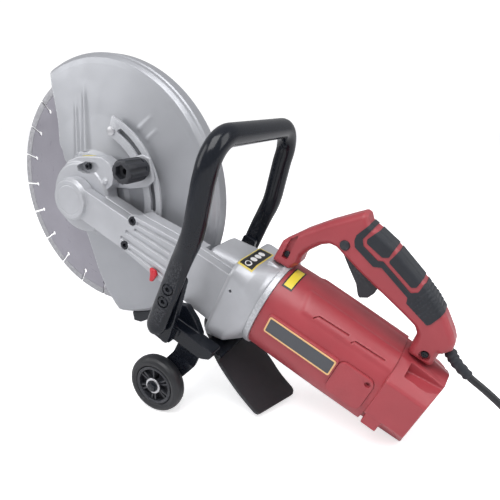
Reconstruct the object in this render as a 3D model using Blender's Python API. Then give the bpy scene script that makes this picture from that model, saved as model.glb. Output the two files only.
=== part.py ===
"""Electric concrete cut-off saw with a 350 mm segmented blade.

Design frame (mm): origin at the spindle axis on the blade's near face, +X forward along the body,
+Y to the saw's left side, +Z up, square to the body's axis.
The finished saw is pitched nose up so that it stands on its two wheels and the lower edge of its rear cover.
"""
import bpy
import bmesh
from math import sin, cos, tan, pi, radians, degrees, hypot, atan2, sqrt
from mathutils import Matrix, Vector

MM = 0.001
GAP = 0.3

# ---- stance -------------------------------------------------------------
PITCH_DEG = 25.26
BASE_X = 0.1980
BASE_Y = -0.0300
BASE_Z = 0.2503

# ---- blade and guard ----------------------------------------------------
BLADE_R = 175.0
BLADE_SEGMENTS = 23
SEG_H = 10.0
SEG_T = 3.2
CORE_T = 2.4
BORE_R = 12.7
SLOT_W = 2.6
SLOT_KEY_R = 3.2
SLOT_DEPTH = 21.0
FIRST_SLOT_DEG = 21.0
GUARD_R = 190.5
GUARD_FRONT_DEG = 14.0
GUARD_REAR_DEG = 300.0
ARC_R = 106.0
CLAMP_X, CLAMP_Z = -69.0, 80.5

# ---- drive --------------------------------------------------------------
AXIS_Y, AXIS_Z = 30.0, 18.0
JACK_X = -230.0
RING_TEETH, PINION_TEETH = 32, 8
RING_R = 22.0
FACE = 0.34
DRIVE_R, DRIVEN_R = 10.5, 11.5
BELT_T = 2.6

# ---- housing stations along X -------------------------------------------
X_FLANGE = -304.0
X_SEAM = -458.0
X_REAR = -513.0

# ---- wheels -------------------------------------------------------------
WHEEL_X, WHEEL_Z, WHEEL_R = -236.0, -124.08, 37.5
WHEEL_Y0, WHEEL_Y1 = 107.0, 128.0

# ---- front handle -------------------------------------------------------
TUBE_R = 12.7
LEG_OFF = 100.5

for o in list(bpy.data.objects):
    bpy.data.objects.remove(o, do_unlink=True)

COLL = bpy.context.scene.collection
MATS = {}


def mat(name, rgb, rough, metal):
    if name not in MATS:
        m = bpy.data.materials.new(name)
        m.use_nodes = True
        b = m.node_tree.nodes["Principled BSDF"]
        b.inputs["Base Color"].default_value = (*rgb, 1.0)
        b.inputs["Roughness"].default_value = rough
        b.inputs["Metallic"].default_value = metal
        m.diffuse_color = (*rgb, 1.0)
        MATS[name] = m
    return MATS[name]


RED = ("red_plastic", (0.42, 0.055, 0.07), 0.42, 0.0)
ALU = ("cast_aluminium", (0.42, 0.43, 0.45), 0.42, 0.9)
BLACK = ("black_plastic", (0.02, 0.022, 0.027), 0.5, 0.0)
RUBBER = ("rubber", (0.018, 0.018, 0.022), 0.7, 0.0)
PAINT = ("black_paint", (0.015, 0.016, 0.02), 0.28, 0.2)
STEEL = ("steel", (0.5, 0.5, 0.5), 0.35, 1.0)
BLADECORE = ("blade_steel", (0.30, 0.30, 0.35), 0.35, 0.9)
IRON = ("lamination", (0.25, 0.25, 0.26), 0.5, 0.8)
COPPER = ("copper", (0.72, 0.33, 0.16), 0.35, 1.0)
CARBON = ("carbon", (0.03, 0.03, 0.03), 0.7, 0.0)
PLATE = ("plate", (0.07, 0.075, 0.085), 0.4, 0.0)
LEVER = ("lever_red", (0.55, 0.03, 0.05), 0.35, 0.0)


def new(name, verts, faces, m):
    """One closed body from design-frame millimetres."""
    bm = bmesh.new()
    vs = [bm.verts.new((x * MM, y * MM, z * MM)) for x, y, z in verts]
    for f in faces:
        u = []
        for i in f:
            if vs[i] not in u:
                u.append(vs[i])
        if len(u) > 2:
            bm.faces.new(u)
    bmesh.ops.remove_doubles(bm, verts=bm.verts, dist=1e-6)
    bmesh.ops.dissolve_degenerate(bm, edges=bm.edges, dist=1e-7)
    bmesh.ops.delete(bm, geom=[e for e in bm.edges if not e.link_faces], context="EDGES")
    bmesh.ops.delete(bm, geom=[w for w in bm.verts if not w.link_edges], context="VERTS")
    bmesh.ops.recalc_face_normals(bm, faces=bm.faces)
    if bm.calc_volume(signed=True) < 0:
        bmesh.ops.reverse_faces(bm, faces=bm.faces)
    me = bpy.data.meshes.new(name)
    bm.to_mesh(me)
    bm.free()
    me.materials.append(mat(*m))
    ob = bpy.data.objects.new(name, me)
    COLL.objects.link(ob)
    return ob


def boolean(a, b, op="DIFFERENCE"):
    """Applies an exact Boolean of b on a and removes b."""
    mod = a.modifiers.new("cut", "BOOLEAN")
    mod.operation = op
    mod.solver = "EXACT"
    mod.object = b
    b.hide_render = True
    b.display_type = "WIRE"
    bpy.context.view_layer.update()
    dg = bpy.context.evaluated_depsgraph_get()
    me = bpy.data.meshes.new_from_object(a.evaluated_get(dg))
    a.modifiers.clear()
    old = a.data
    a.data = me
    bpy.data.meshes.remove(old)
    bpy.data.objects.remove(b, do_unlink=True)
    return a


def cut(a, *bs):
    for b in bs:
        boolean(a, b)
    return a


def join(a, *bs):
    for b in bs:
        boolean(a, b, "UNION")
    return a


def prism(name, pts, lo, hi, m, axis="Y"):
    """A polygon extruded along an axis. pts are (x, z) for Y, (y, z) for X and (x, y) for Z."""
    n = len(pts)
    put = {"Y": lambda p, t: (p[0], t, p[1]), "X": lambda p, t: (t, p[0], p[1]), "Z": lambda p, t: (p[0], p[1], t)}[axis]
    v = [put(p, lo) for p in pts] + [put(p, hi) for p in pts]
    f = [tuple(range(n)), tuple(range(n, 2 * n))]
    f += [(i, (i + 1) % n, n + (i + 1) % n, n + i) for i in range(n)]
    return new(name, v, f, m)


def box(name, x0, x1, y0, y1, z0, z1, m):
    return prism(name, [(x0, z0), (x1, z0), (x1, z1), (x0, z1)], y0, y1, m)


def lathe(name, prof, m, axis="Y", c=(0.0, 0.0), n=28, a0=0.0, a1=360.0, phase=0.0):
    """A closed profile of (radius, station) turned about an axis. c is (x, z) for Y, (y, z) for X, (x, y) for Z."""
    full = abs(a1 - a0) >= 359.999
    k = n if full else n + 1
    v, f = [], []
    for i in range(k):
        a = radians(a0 + (a1 - a0) * i / n + phase)
        ca, sa = cos(a), sin(a)
        for r, s in prof:
            if axis == "Y":
                v.append((c[0] + r * ca, s, c[1] + r * sa))
            elif axis == "X":
                v.append((s, c[0] + r * ca, c[1] + r * sa))
            else:
                v.append((c[0] + r * ca, c[1] + r * sa, s))
    p = len(prof)
    for i in range(n):
        j = (i + 1) % k
        for q in range(p):
            w = (q + 1) % p
            f.append((i * p + q, j * p + q, j * p + w, i * p + w))
    if not full:
        f.append(tuple(range(p)))
        f.append(tuple(n * p + q for q in range(p)))
    return new(name, v, f, m)


def disc(name, r, s0, s1, m, axis="Y", c=(0.0, 0.0), n=32, bev=0.0, bore=0.0, phase=0.0):
    b = bev
    prof = [(r, s0 + b), (r, s1 - b)] if b == 0 else [(r - b, s0), (r, s0 + b), (r, s1 - b), (r - b, s1)]
    if b == 0:
        prof = [(bore, s0), (r, s0), (r, s1), (bore, s1)]
    else:
        prof = [(bore, s0)] + prof + [(bore, s1)]
    return lathe(name, prof, m, axis, c, n, phase=phase)


def loft(name, rings, m, closed_ends=True):
    """Skins rings of equal count; the first and last are capped."""
    n = len(rings[0])
    v = [p for r in rings for p in r]
    f = []
    for i in range(len(rings) - 1):
        for j in range(n):
            k = (j + 1) % n
            f.append((i * n + j, i * n + k, (i + 1) * n + k, (i + 1) * n + j))
    f.append(tuple(range(n)))
    f.append(tuple((len(rings) - 1) * n + j for j in range(n)))
    return new(name, v, f, m)


def sweep(name, path, rad, m, n=14, flat=None, up=(0, 1, 0)):
    """A round or flattened bar along a path. rad(i) gives (ru, rv): ru across, rv along `up`."""
    P = [Vector(p) for p in path]
    rings = []
    u0 = Vector(up)
    for i, p in enumerate(P):
        t = (P[min(i + 1, len(P) - 1)] - P[max(i - 1, 0)]).normalized()
        s = t.cross(u0)
        s = s.normalized() if s.length > 1e-6 else Vector((1, 0, 0))
        w = s.cross(t).normalized()
        u0 = w
        ru, rv = rad(i)
        rings.append([tuple(p + s * (ru * cos(2 * pi * j / n)) + w * (rv * sin(2 * pi * j / n))) for j in range(n)])
    return loft(name, rings, m)


def arc_pts(cx, cz, r, a0, a1, n):
    return [(cx + r * cos(radians(a0 + (a1 - a0) * i / n)), cz + r * sin(radians(a0 + (a1 - a0) * i / n))) for i in range(n + 1)]


def round_poly(pts, r, seg=3):
    """Rounds the corners of a polygon with radius r (or a radius per corner)."""
    out = []
    n = len(pts)
    for i in range(n):
        a, b, c = Vector(pts[i - 1]), Vector(pts[i]), Vector(pts[(i + 1) % n])
        rr = r[i] if isinstance(r, (list, tuple)) else r
        d0, d1 = (a - b), (c - b)
        l0, l1 = d0.length, d1.length
        if rr <= 0 or l0 < 1e-6 or l1 < 1e-6:
            out.append(tuple(b))
            continue
        d0.normalize()
        d1.normalize()
        ang = d0.angle(d1)
        if abs(pi - ang) < 0.05:
            out.append(tuple(b))
            continue
        t = min(rr / tan(ang / 2), 0.48 * l0, 0.48 * l1)
        p0, p1 = b + d0 * t, b + d1 * t
        for k in range(seg + 1):
            s = k / seg
            q = p0 * (1 - s) ** 2 + b * 2 * s * (1 - s) + p1 * s * s
            out.append((q.x, q.y))
    return out


def rrect(cy, cz, hy, hz, r, n=8):
    """A rounded rectangle as 4*(n) points, (y, z), starting at the +y side, counter-clockwise."""
    pts = []
    for qx, qz, a0 in ((1, 1, 0), (-1, 1, 90), (-1, -1, 180), (1, -1, 270)):
        for i in range(n):
            a = radians(a0 + 90 * i / (n - 1))
            pts.append((cy + qx * (hy - r) + r * cos(a), cz + qz * (hz - r) + r * sin(a)))
    return pts


def hexagon(c, r, phase=0.0):
    return [(c[0] + r * cos(radians(60 * i + phase)), c[1] + r * sin(radians(60 * i + phase))) for i in range(6)]


def mirror_y(y):
    return 2 * AXIS_Y - y


# =========================================================================
# Blade, spindle and clamping parts
# =========================================================================
def blade_outline(r_out, extra=0.0):
    """Rim of the blade core with its keyhole slots, as (x, z)."""
    pts = []
    pitch = 360.0 / BLADE_SEGMENTS
    for s in range(BLADE_SEGMENTS):
        a = FIRST_SLOT_DEG + pitch * s
        hw = SLOT_W / 2
        da = degrees(hw / r_out)
        ka = radians(a)
        ur, ut = (cos(ka), sin(ka)), (-sin(ka), cos(ka))
        kr = r_out - SLOT_DEPTH
        pts.append((r_out * cos(radians(a - da)), r_out * sin(radians(a - da))))
        b0 = degrees(atan2(hw, sqrt(SLOT_KEY_R ** 2 - hw ** 2)))
        for i in range(6):
            b = radians(-b0 - (360 - 2 * b0) * i / 5)
            cr, ct = kr + SLOT_KEY_R * cos(b), SLOT_KEY_R * sin(b)
            pts.append((ur[0] * cr + ut[0] * ct, ur[1] * cr + ut[1] * ct))
        pts.append((r_out * cos(radians(a + da)), r_out * sin(radians(a + da))))
        for i in range(1, 3):
            b = radians(a + da + (pitch - 2 * da) * i / 3)
            pts.append((r_out * cos(b), r_out * sin(b)))
    return pts


def make_blade():
    yc1, yc0 = -(SEG_T - CORE_T) / 2, -(SEG_T + CORE_T) / 2
    core = prism("blade", blade_outline(BLADE_R - 0.4), yc0, yc1, BLADECORE)
    cut(core, disc("b", BORE_R, -10, 10, STEEL, n=24))
    pitch = 360.0 / BLADE_SEGMENTS
    v, f = [], []
    for s in range(BLADE_SEGMENTS):
        a = FIRST_SLOT_DEG + pitch * s
        i0, o0 = len(v), degrees((SLOT_W / 2 + 0.08) / BLADE_R)
        ring = []
        for k in range(4):
            t = radians(a + o0 + (pitch - 2 * o0) * k / 3)
            ring.append((cos(t), sin(t)))
        pts = [(BLADE_R * c, BLADE_R * q) for c, q in ring] + [((BLADE_R - SEG_H) * c, (BLADE_R - SEG_H) * q) for c, q in reversed(ring)]
        n = len(pts)
        v += [(x, -SEG_T, z) for x, z in pts] + [(x, 0.0, z) for x, z in pts]
        f += [tuple(range(i0, i0 + n)), tuple(range(i0 + n, i0 + 2 * n))]
        f += [(i0 + i, i0 + (i + 1) % n, i0 + n + (i + 1) % n, i0 + n + i) for i in range(n)]
    join(core, new("segments", v, f, BLADECORE))
    return core


make_blade()
spindle = lathe("spindle", [(0, -14.0), (6.0, -14.0), (6.0, -9.2), (BORE_R - GAP, -9.0), (BORE_R - GAP, 0.3), (32.0, 0.3), (32.0, 5.0), (14.0, 8.0), (9.7, 13.0), (9.7, 57.0 - GAP), (8.0, 57.0 - GAP), (8.0, 69.0), (0, 69.0)], STEEL, n=28)
flange = lathe("outer_flange", [(6.3, -13.5), (18.0, -13.5), (32.0, -8.0), (32.0, -3.5), (13.0, -3.5), (13.0, -9.3), (6.3, -9.5)], STEEL, n=28)
bolt = prism("arbor_bolt", hexagon((0, 0), 9.5), -21.5, -14.3, STEEL)
driven = lathe("driven_pulley", [(8.3, 57.0), (DRIVEN_R + 2.0, 57.0), (DRIVEN_R, 58.0), (DRIVEN_R, 67.0), (DRIVEN_R + 2.0, 68.0), (8.3, 68.0)], STEEL, n=24)

# =========================================================================
# Blade guard with its slotted arc and deflector
# =========================================================================
g_prof = [(38.2, 33.5), (56, 33.5), (62, 29.5), (110, 22.5), (176, 15.5), (183.5, 14), (187.5, 9), (188.5, 5), (GUARD_R, 3), (GUARD_R, -14), (188, -17), (150, -17),
          (150, -14.5), (187, -14.5), (187.5, 0), (185, 4), (180, 11), (110, 19.3), (62, 26), (56, 30), (38.2, 30)]
guard = lathe("blade_guard", g_prof, ALU, n=52, a0=GUARD_FRONT_DEG, a1=GUARD_REAR_DEG)
hub = lathe("hubring", [(38.2, 30), (52, 30), (52, 33.5), (38.2, 33.5)], ALU, n=40)
join(guard, hub)
# outline of the near plate's open front: down from the tip, round the hub and along the lower edge
FRONT = [(56, 0), (64, 12), (71, 19), (78, 27), (88, 33), (104, 62), (133, 100), (144, 117)]
LOWER = [(-100, -170), (-59, -142), (-34, -114), (-8, -74), (1, -62), (20, -69), (31, -62), (44, -48), (53, -20)]
cut(guard, prism("trim", FRONT + [(175, 150), (260, 150), (260, -260), (-104, -260)] + LOWER, 8.0, 60.0, ALU))
cut(guard, prism("trim", [(60, 30), (133, 95), (143, 109), (150, 117.5), (200, 158), (260, 170), (260, -260), (-104, -260), (-100, -170), (-88, -140), (0, -60)], -40.0, 8.0, ALU))
# radial stiffening ribs on the near plate
for a0, r0, r1, w in ((57.5, 60, 143, 6.0), (46.5, 60, 128, 5.0), (107.5, 124, 148, 3.0), (114.5, 122, 141, 3.0)):
    a = radians(a0)
    u, t = Vector((cos(a), sin(a))), Vector((-sin(a), cos(a)))
    q = [u * r0 - t * w, u * r1 - t * 1.5, u * r1 + t * 1.5, u * r0 + t * w]
    yb = lambda r: 29.5 - (r - 62) * 7 / 48 if r < 110 else 22.5 - (r - 110) * 7 / 66
    v = []
    for k, p in enumerate(q):
        r = r0 if k in (0, 3) else r1
        v.append((p.x, yb(r) - 2.0, p.y))
    for k, p in enumerate(q):
        r = r0 if k in (0, 3) else r1
        pp = p - t * (0.35 * (p.dot(t)))
        v.append((pp.x, yb(r) + (3.0 if k in (0, 3) else 0.3), pp.y))
    rib = new("rib", v, [(0, 1, 2, 3), (4, 5, 6, 7), (0, 1, 5, 4), (1, 2, 6, 5), (2, 3, 7, 6), (3, 0, 4, 7)], ALU)
    join(guard, rib)

# standoffs that carry the arc
for a0 in (93.0, 168.0):
    a = radians(a0)
    post = disc("post", 5.0, 19.5, 31.0 - GAP, ALU, c=(ARC_R * cos(a), ARC_R * sin(a)), n=12)
    join(guard, post)

arc = prism("guard_arc_bracket", arc_pts(0, 0, 118, 88, 171, 22) + arc_pts(0, 0, 91, 171, 88, 18), 31.0, 35.0, ALU)
slot = prism("slot", arc_pts(0, 0, ARC_R + 4.2, 98, 161, 16) + arc_pts(0, 0, ARC_R - 4.2, 161, 98, 16), 28, 38, ALU)
cut(arc, slot)

pad_in = GUARD_R + 0.9
pts = [(r * cos(radians(a)), r * sin(radians(a))) for r, a in
       [(pad_in, 224), (pad_in, 228), (pad_in, 232), (pad_in, 236.5), (pad_in + 14, 236.5), (pad_in + 17, 233), (pad_in + 13, 228), (pad_in + 5, 224)]]
prism("guard_deflector", pts, -15.0, 4.0, RUBBER)

# =========================================================================
# Arm: casting behind, belt cover in front
# =========================================================================
Y_SPLIT = 60.0
COVER_Y = 75.5
def arm_profile(r_head, off=0.0):
    top = [(-20, 24 - off), (-93 - off * 0.4, 24.5 - off), (-103 - off * 0.4, 34 - off), (-171, 40.5 - off), (-200, 41.5 - off), (-249.5 + off, 41.5 - off)]
    bot = [(-249.5 + off, -31 + off), (-200, -28 + off), (-160, -25 + off), (-99, -18.5 + off), (-20, -18 + off)]
    zt, zb = 24.0 - off, -18.0 + off
    a1 = degrees(atan2(zt, -sqrt(r_head ** 2 - zt ** 2)))
    a0 = degrees(atan2(zb, -sqrt(r_head ** 2 - zb ** 2)))
    head = arc_pts(0, 0, r_head, a0, a1, 18)
    return head + top[1:] + bot[:-1]


arm_out = arm_profile(29.5)
arm_in = arm_profile(26.0, 2.5)
arm = prism("arm_casting", [p for p in arm_out], 40.0, Y_SPLIT, ALU)
head = lathe("head", [(0, 35.0), (46.0, 35.0), (49.0, 38.0), (49.0, 57.5), (46.5, Y_SPLIT), (0, Y_SPLIT)], ALU, n=36)
lobe = prism("lobe", round_poly([(46, 15), (37, 37), (22, 51), (2, 62), (-14, 69), (-29, 68), (-40, 58), (-43, 43), (-34, 27), (0, 0)], 5, 2), 36.0, 57.0, ALU)
lug = prism("lug", round_poly([(-20, 60), (-62, 97), (-74, 98), (-91, 73), (-84, 60), (-60, 44), (-30, 30)], 4, 2), 36.0, 41.0, ALU)
join(arm, head, lobe, lug)
spigot = disc("spigot", 37.8, 22.0, 36.0, ALU, n=40)
join(arm, spigot)
cut(arm, prism("pocket", arm_in, 56.0, Y_SPLIT + 1, ALU))
cut(arm, box("relief", -262, -199, 30, 52.6, -60, 60, ALU))
cut(arm, disc("bore", 19.3, 12.0, 70.0, ALU, n=32))
cut(arm, disc("jbore", 11.0, 40.0, 70.0, ALU, c=(JACK_X, AXIS_Z), n=24))
cut(arm, disc("stud", 4.3, 30.0, 45.0, ALU, c=(CLAMP_X, CLAMP_Z), n=16))

cover = prism("belt_cover", arm_out, Y_SPLIT + GAP, COVER_Y, ALU)
cap = lathe("cap", [(0, Y_SPLIT + GAP), (29.5, Y_SPLIT + GAP), (29.5, 74.0), (27.0, 78.5), (25.5, 80.0), (0, 80.0)], ALU, n=36)
join(cover, cap)
cut(cover, prism("pocket", arm_in, 50.0, 72.5, ALU))
for x0, x1, z0, z1 in ((-108, -167, 13.5, 18.5), (-96, -166, 3.5, 8.5), (-94, -167, -8.5, -1.5), (-108, -168, 23.5, 29.0)):
    cut(cover, box("groove", x1, x0, COVER_Y - 0.9, COVER_Y + 1, z0, z1, ALU))
SCREW_X, SCREW_Z = -101.0, (26.5, -11.5)
for z in SCREW_Z:
    join(cover, disc("boss", 6.6, 68.5, 74.0, ALU, c=(SCREW_X, z), n=12))
    join(arm, disc("boss", 4.2, 54.5, Y_SPLIT - 0.2, ALU, c=(SCREW_X, z), n=12))
    cut(cover, disc("hole", 2.8, 55.0, 80.0, ALU, c=(SCREW_X, z), n=12))
    cut(arm, disc("hole", 2.8, 50.0, 62.0, ALU, c=(SCREW_X, z), n=12))
    cut(cover, disc("sink", 5.2, 71.0, 90.0, ALU, c=(SCREW_X, z), n=16))
for nm, z in (("cover_screw_upper", SCREW_Z[0]), ("cover_screw_lower", SCREW_Z[1])):
    lathe(nm, [(0, 52.0), (2.5, 52.0), (2.5, 71.3), (4.8, 71.3), (4.8, 75.3), (2.4, 75.3), (2.4, 73.0), (0, 73.0)], PAINT, c=(SCREW_X, z), n=12)

# =========================================================================
# Belt, jackshaft and bevel gears
# =========================================================================
def belt_loop(r1, c1, r2, c2, n=14):
    """Outer loop around two circles, (x, z), counter-clockwise."""
    d = hypot(c2[0] - c1[0], c2[1] - c1[1])
    base = degrees(atan2(c2[1] - c1[1], c2[0] - c1[0]))
    b = degrees(sin((r1 - r2) / d))
    a1 = 90 - b
    p = arc_pts(c1[0], c1[1], r1, base + a1, base + 360 - a1, n)
    q = arc_pts(c2[0], c2[1], r2, base - a1, base + a1, n)
    return p + q


c1, c2 = (0.0, 0.0), (JACK_X, AXIS_Z)
b_out = belt_loop(DRIVEN_R + GAP + BELT_T, c1, DRIVE_R + GAP + BELT_T, c2)
b_in = belt_loop(DRIVEN_R + GAP, c1, DRIVE_R + GAP, c2)
n = len(b_out)
bv = [(x, y, z) for y in (58.5, 66.5) for loop in (b_out, b_in) for x, z in loop]
bf = []
for i in range(n):
    j = (i + 1) % n
    bf += [(i, j, 2 * n + j, 2 * n + i), (n + i, n + j, 3 * n + j, 3 * n + i), (i, j, n + j, n + i), (2 * n + i, 2 * n + j, 3 * n + j, 3 * n + i)]
new("drive_belt", bv, bf, RUBBER)

lathe("drive_pulley", [(6.3, 57.0), (DRIVE_R + 2.0, 57.0), (DRIVE_R, 58.0), (DRIVE_R, 67.0), (DRIVE_R + 2.0, 68.0), (6.3, 68.0)], STEEL, c=c2, n=24)
lathe("jackshaft", [(0, -10.0), (5.7, -10.0), (5.7, 8.0), (7.0, 8.0), (7.0, 42.0), (7.0, 56.7), (6.0, 56.7), (6.0, 68.3), (0, 68.3)], STEEL, c=c2, n=24)


def bevel(name, teeth, r_big, cone_deg, apex, a_dir, u_dir, v_dir, m, phase, hub_r, back):
    """A straight bevel gear whose teeth all point at the apex.
    a_dir points from the apex to the gear along its axis; back is how far the blank runs on behind the teeth."""
    A = r_big / sin(radians(cone_deg))
    mod = 2 * r_big / teeth
    add, ded = 0.62 * mod, 0.85 * mod
    sd, cd = sin(radians(cone_deg)), cos(radians(cone_deg))
    apex, a_dir, u_dir, v_dir = Vector(apex), Vector(a_dir), Vector(u_dir), Vector(v_dir)
    half = pi * mod / 4 * 0.86
    ring = []
    for t in range(teeth):
        th = 2 * pi * (t + phase) / teeth
        for h, w in ((-ded, half + ded * 0.40), (add, half - add * 0.42), (add, -(half - add * 0.42)), (-ded, -(half + ded * 0.40))):
            ring.append((th + w / r_big, h))
    ring.sort(key=lambda q: 0)
    order = []
    for t in range(teeth):
        q = ring[t * 4:t * 4 + 4]
        order += [q[3], q[2], q[1], q[0]]

    def pos(th, h, k):
        e = u_dir * cos(th) + v_dir * sin(th)
        return apex + (a_dir * (A * cd) + e * (A * sd) + (e * cd - a_dir * sd) * h) * k

    k_small = 1 - FACE
    V = []
    for k in (k_small, 1.0):
        V += [pos(th, h, k) for th, h in order]
    N = len(order)
    base_a = (V[N] - apex).dot(a_dir)
    st = A * cd + back
    for th, h in order:
        e = u_dir * cos(th) + v_dir * sin(th)
        V.append(apex + a_dir * st + e * (A * sd - ded * cd))
    F = []
    for i in range(N):
        j = (i + 1) % N
        F.append((i, j, N + j, N + i))
        F.append((N + i, N + j, 2 * N + j, 2 * N + i))
    # bore rings
        s_small = (V[0] - apex).dot(a_dir)
    o = len(V)
    for s in (s_small, st):
        for i in range(N):
            th = order[i][0]
            e = u_dir * cos(th) + v_dir * sin(th)
            V.append(apex + a_dir * s + e * hub_r)
    for i in range(N):
        j = (i + 1) % N
        F.append((i, j, o + j, o + i))
        F.append((2 * N + i, 2 * N + j, o + N + j, o + N + i))
        F.append((o + i, o + j, o + N + j, o + N + i))
    return new(name, [tuple(p) for p in V], F, m)


CONE_P = degrees(atan2(PINION_TEETH, RING_TEETH))
apex = (JACK_X, AXIS_Y, AXIS_Z)
PIN_R = RING_R * PINION_TEETH / RING_TEETH
bevel("ring_gear", RING_TEETH, RING_R, 90 - CONE_P, apex, (0, -1, 0), (-1, 0, 0), (0, 0, 1), STEEL, 0.5, 7.3, 7.0)
pin = bevel("armature_shaft", PINION_TEETH, PIN_R, CONE_P, apex, (-1, 0, 0), (0, -1, 0), (0, 0, 1), STEEL, 0.0, 2.0, 3.0)
shaft = lathe("sh", [(0, -249.0), (3.2, -249.0), (3.2, -267.5), (5.0, -267.5), (5.0, -284.5), (6.0, -284.5), (6.0, -440.0), (4.5, -440.0), (4.5, -456.0), (0, -456.0)], STEEL, axis="X", c=(AXIS_Y, AXIS_Z), n=20)
join(pin, shaft)

# =========================================================================
# Bearings
# =========================================================================
def bearing(name, ri, ro, s0, s1, axis, c):
    return lathe(name, [(ri, s0), (ro - 0.6, s0), (ro, s0 + 0.6), (ro, s1 - 0.6), (ro - 0.6, s1), (ri, s1)], STEEL, axis=axis, c=c, n=20)


bearing("spindle_bearing_front", 10.0, 19.0, 22.5, 32.5, "Y", c1)
bearing("spindle_bearing_rear", 10.0, 19.0, 44.0, 54.0, "Y", c1)
bearing("jackshaft_bearing", 7.3, 15.0, 42.5, 50.5, "Y", c2)
bearing("armature_bearing_front", 5.4, 14.0, -281.0, -272.0, "X", (AXIS_Y, AXIS_Z))
bearing("armature_bearing_rear", 4.8, 11.0, -454.0, -447.0, "X", (AXIS_Y, AXIS_Z))

# =========================================================================
# Gear housing
# =========================================================================
def gear_ring(x, cy, cz, hy, hz, r):
    return [(x, y, z) for y, z in rrect(cy, cz, hy, hz, r, 6)]


gh = loft("gear_housing", [
    gear_ring(-250.5, 30, 6, 53, 56, 20), gear_ring(-255, 30, 6, 55, 58, 22), gear_ring(-276, 30, 8, 56, 58, 30),
    gear_ring(-290, 30, 14, 56.5, 57, 48), gear_ring(-297, 30, 18, 57, 57, 56.9), gear_ring(-298.5, 30, 18, 59, 59, 58.9), gear_ring(X_FLANGE, 30, 18, 59, 59, 58.9)], ALU)
nose = loft("nose", [gear_ring(-203, 18, 4, 32, 36, 14), gear_ring(-207, 17, 4, 35, 40, 15), gear_ring(-251.5, 17, 5, 35, 46, 15)], ALU)
padtop = prism("padtop", round_poly([(-278, 58), (-278, 71.5), (-304, 71.5), (-304, 50), (-285, 50)], 0), 12, 48, ALU)
join(gh, nose, padtop)
cav = loft("cav", [
    gear_ring(-253.5, 30, 6, 44, 49, 14), gear_ring(-276, 30, 8, 50, 52, 25), gear_ring(-292, 30, 16, 51, 51, 46), gear_ring(-306, 30, 18, 51, 51, 50.9)], ALU)
cut(gh, cav)
cut(gh, disc("ringbay", 25.5, 7.0, 39.5, ALU, c=c2, n=32), disc("jb", 15.3, 30.0, 51.0, ALU, c=c2, n=28), disc("js", 9.0, 45.0, 60.0, ALU, c=c2, n=20), disc("jf", 6.1, -12.0, 20.0, ALU, c=c2, n=20))
cut(gh, box("armnotch", -260, -240, 52.4, 90, -40, 60, ALU))
wall = loft("wall", [gear_ring(-255.6, 30, 6, 54, 57, 21), gear_ring(-259, 30, 6, 54, 57, 21)], ALU)
keep = box("k", -262, -250, 52.4, 90, -60, 70, ALU)
boolean(wall, keep, "INTERSECT")
cut(wall, prism("wcut", [(-270, -60), (-270, 70), (-260.2, 70), (-260.2, -60)], 40, 95, ALU))
join(gh, wall)

bp = lathe("bearing_plate", [(14.3, -271.5), (18.5, -271.5), (18.5, -294.0), (49.0, -294.0), (49.0, -299.0), (7.0, -299.0), (7.0, -281.5), (14.3, -281.5)], ALU, axis="X", c=(AXIS_Y, AXIS_Z), n=40)
for k in range(6):
    a = radians(30 + 60 * k)
    cut(bp, disc("v", 7.0, -305, -290, ALU, axis="X", c=(AXIS_Y + 36 * cos(a), AXIS_Z + 36 * sin(a)), n=12))

# =========================================================================
# Motor
# =========================================================================
def section(hy, top, bot, n=36, side=0.0, p=2.5):
    """A superellipse-like housing section around the motor axis: (y, z)."""
    pts = []
    for i in range(n):
        a = 2 * pi * i / n
        c, s = cos(a), sin(a)
        hz = top if s >= 0 else bot
        k = (abs(c) ** p + abs(s) ** p) ** (-1 / p)
        pts.append((AXIS_Y + hy * k * c, AXIS_Z + hz * k * s))
    return pts


def sec_ring(x, *a, **k):
    return [(x, y, z) for y, z in section(*a, **k)]


mh = loft("motor_housing", [sec_ring(X_FLANGE - GAP, 56.5, 57, 56, p=2.2), sec_ring(-308, 56.5, 57, 56, p=2.2), sec_ring(-322, 56, 57, 56, p=2.25), sec_ring(-345, 55.5, 56.5, 55.5, p=2.35),
                            sec_ring(-400, 55.2, 54, 55, p=2.45), sec_ring(X_SEAM, 55, 51, 54, p=2.5)], RED)
inner = loft("in", [sec_ring(X_FLANGE + 2, 52, 52, 51.5, p=2.1), sec_ring(-400, 51.3, 50, 50.5, p=2.2), sec_ring(X_SEAM - 2, 51, 47.5, 50, p=2.3)], RED)
cut(mh, inner)
for s in (1, -1):
    yo = AXIS_Y + s * 56
    q = prism("bh", round_poly([(-408, 38), (-408, -6), (-452, -6), (-452, 38)], 9, 3), min(AXIS_Y + s * 40, AXIS_Y + s * 70), max(AXIS_Y + s * 40, AXIS_Y + s * 70), RED)
    cut(mh, q)
    nm = "brush_cover_left" if s > 0 else "brush_cover_right"
    y0, y1 = AXIS_Y + s * 50.6, AXIS_Y + s * 55.4
    pc = prism(nm, round_poly([(-408.4, 37.6), (-408.4, -5.6), (-451.6, -5.6), (-451.6, 37.6)], 9, 3), min(y0, y1), max(y0, y1), RED)
    cut(pc, disc("h", 2.2, -80, 140, RED, c=(-446, 31), n=12))
prism("nameplate", round_poly([(-318, 34), (-407, 34), (-407, 12), (-318, 12)], 3, 3), AXIS_Y + 56.9, AXIS_Y + 57.7, PLATE)

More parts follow.
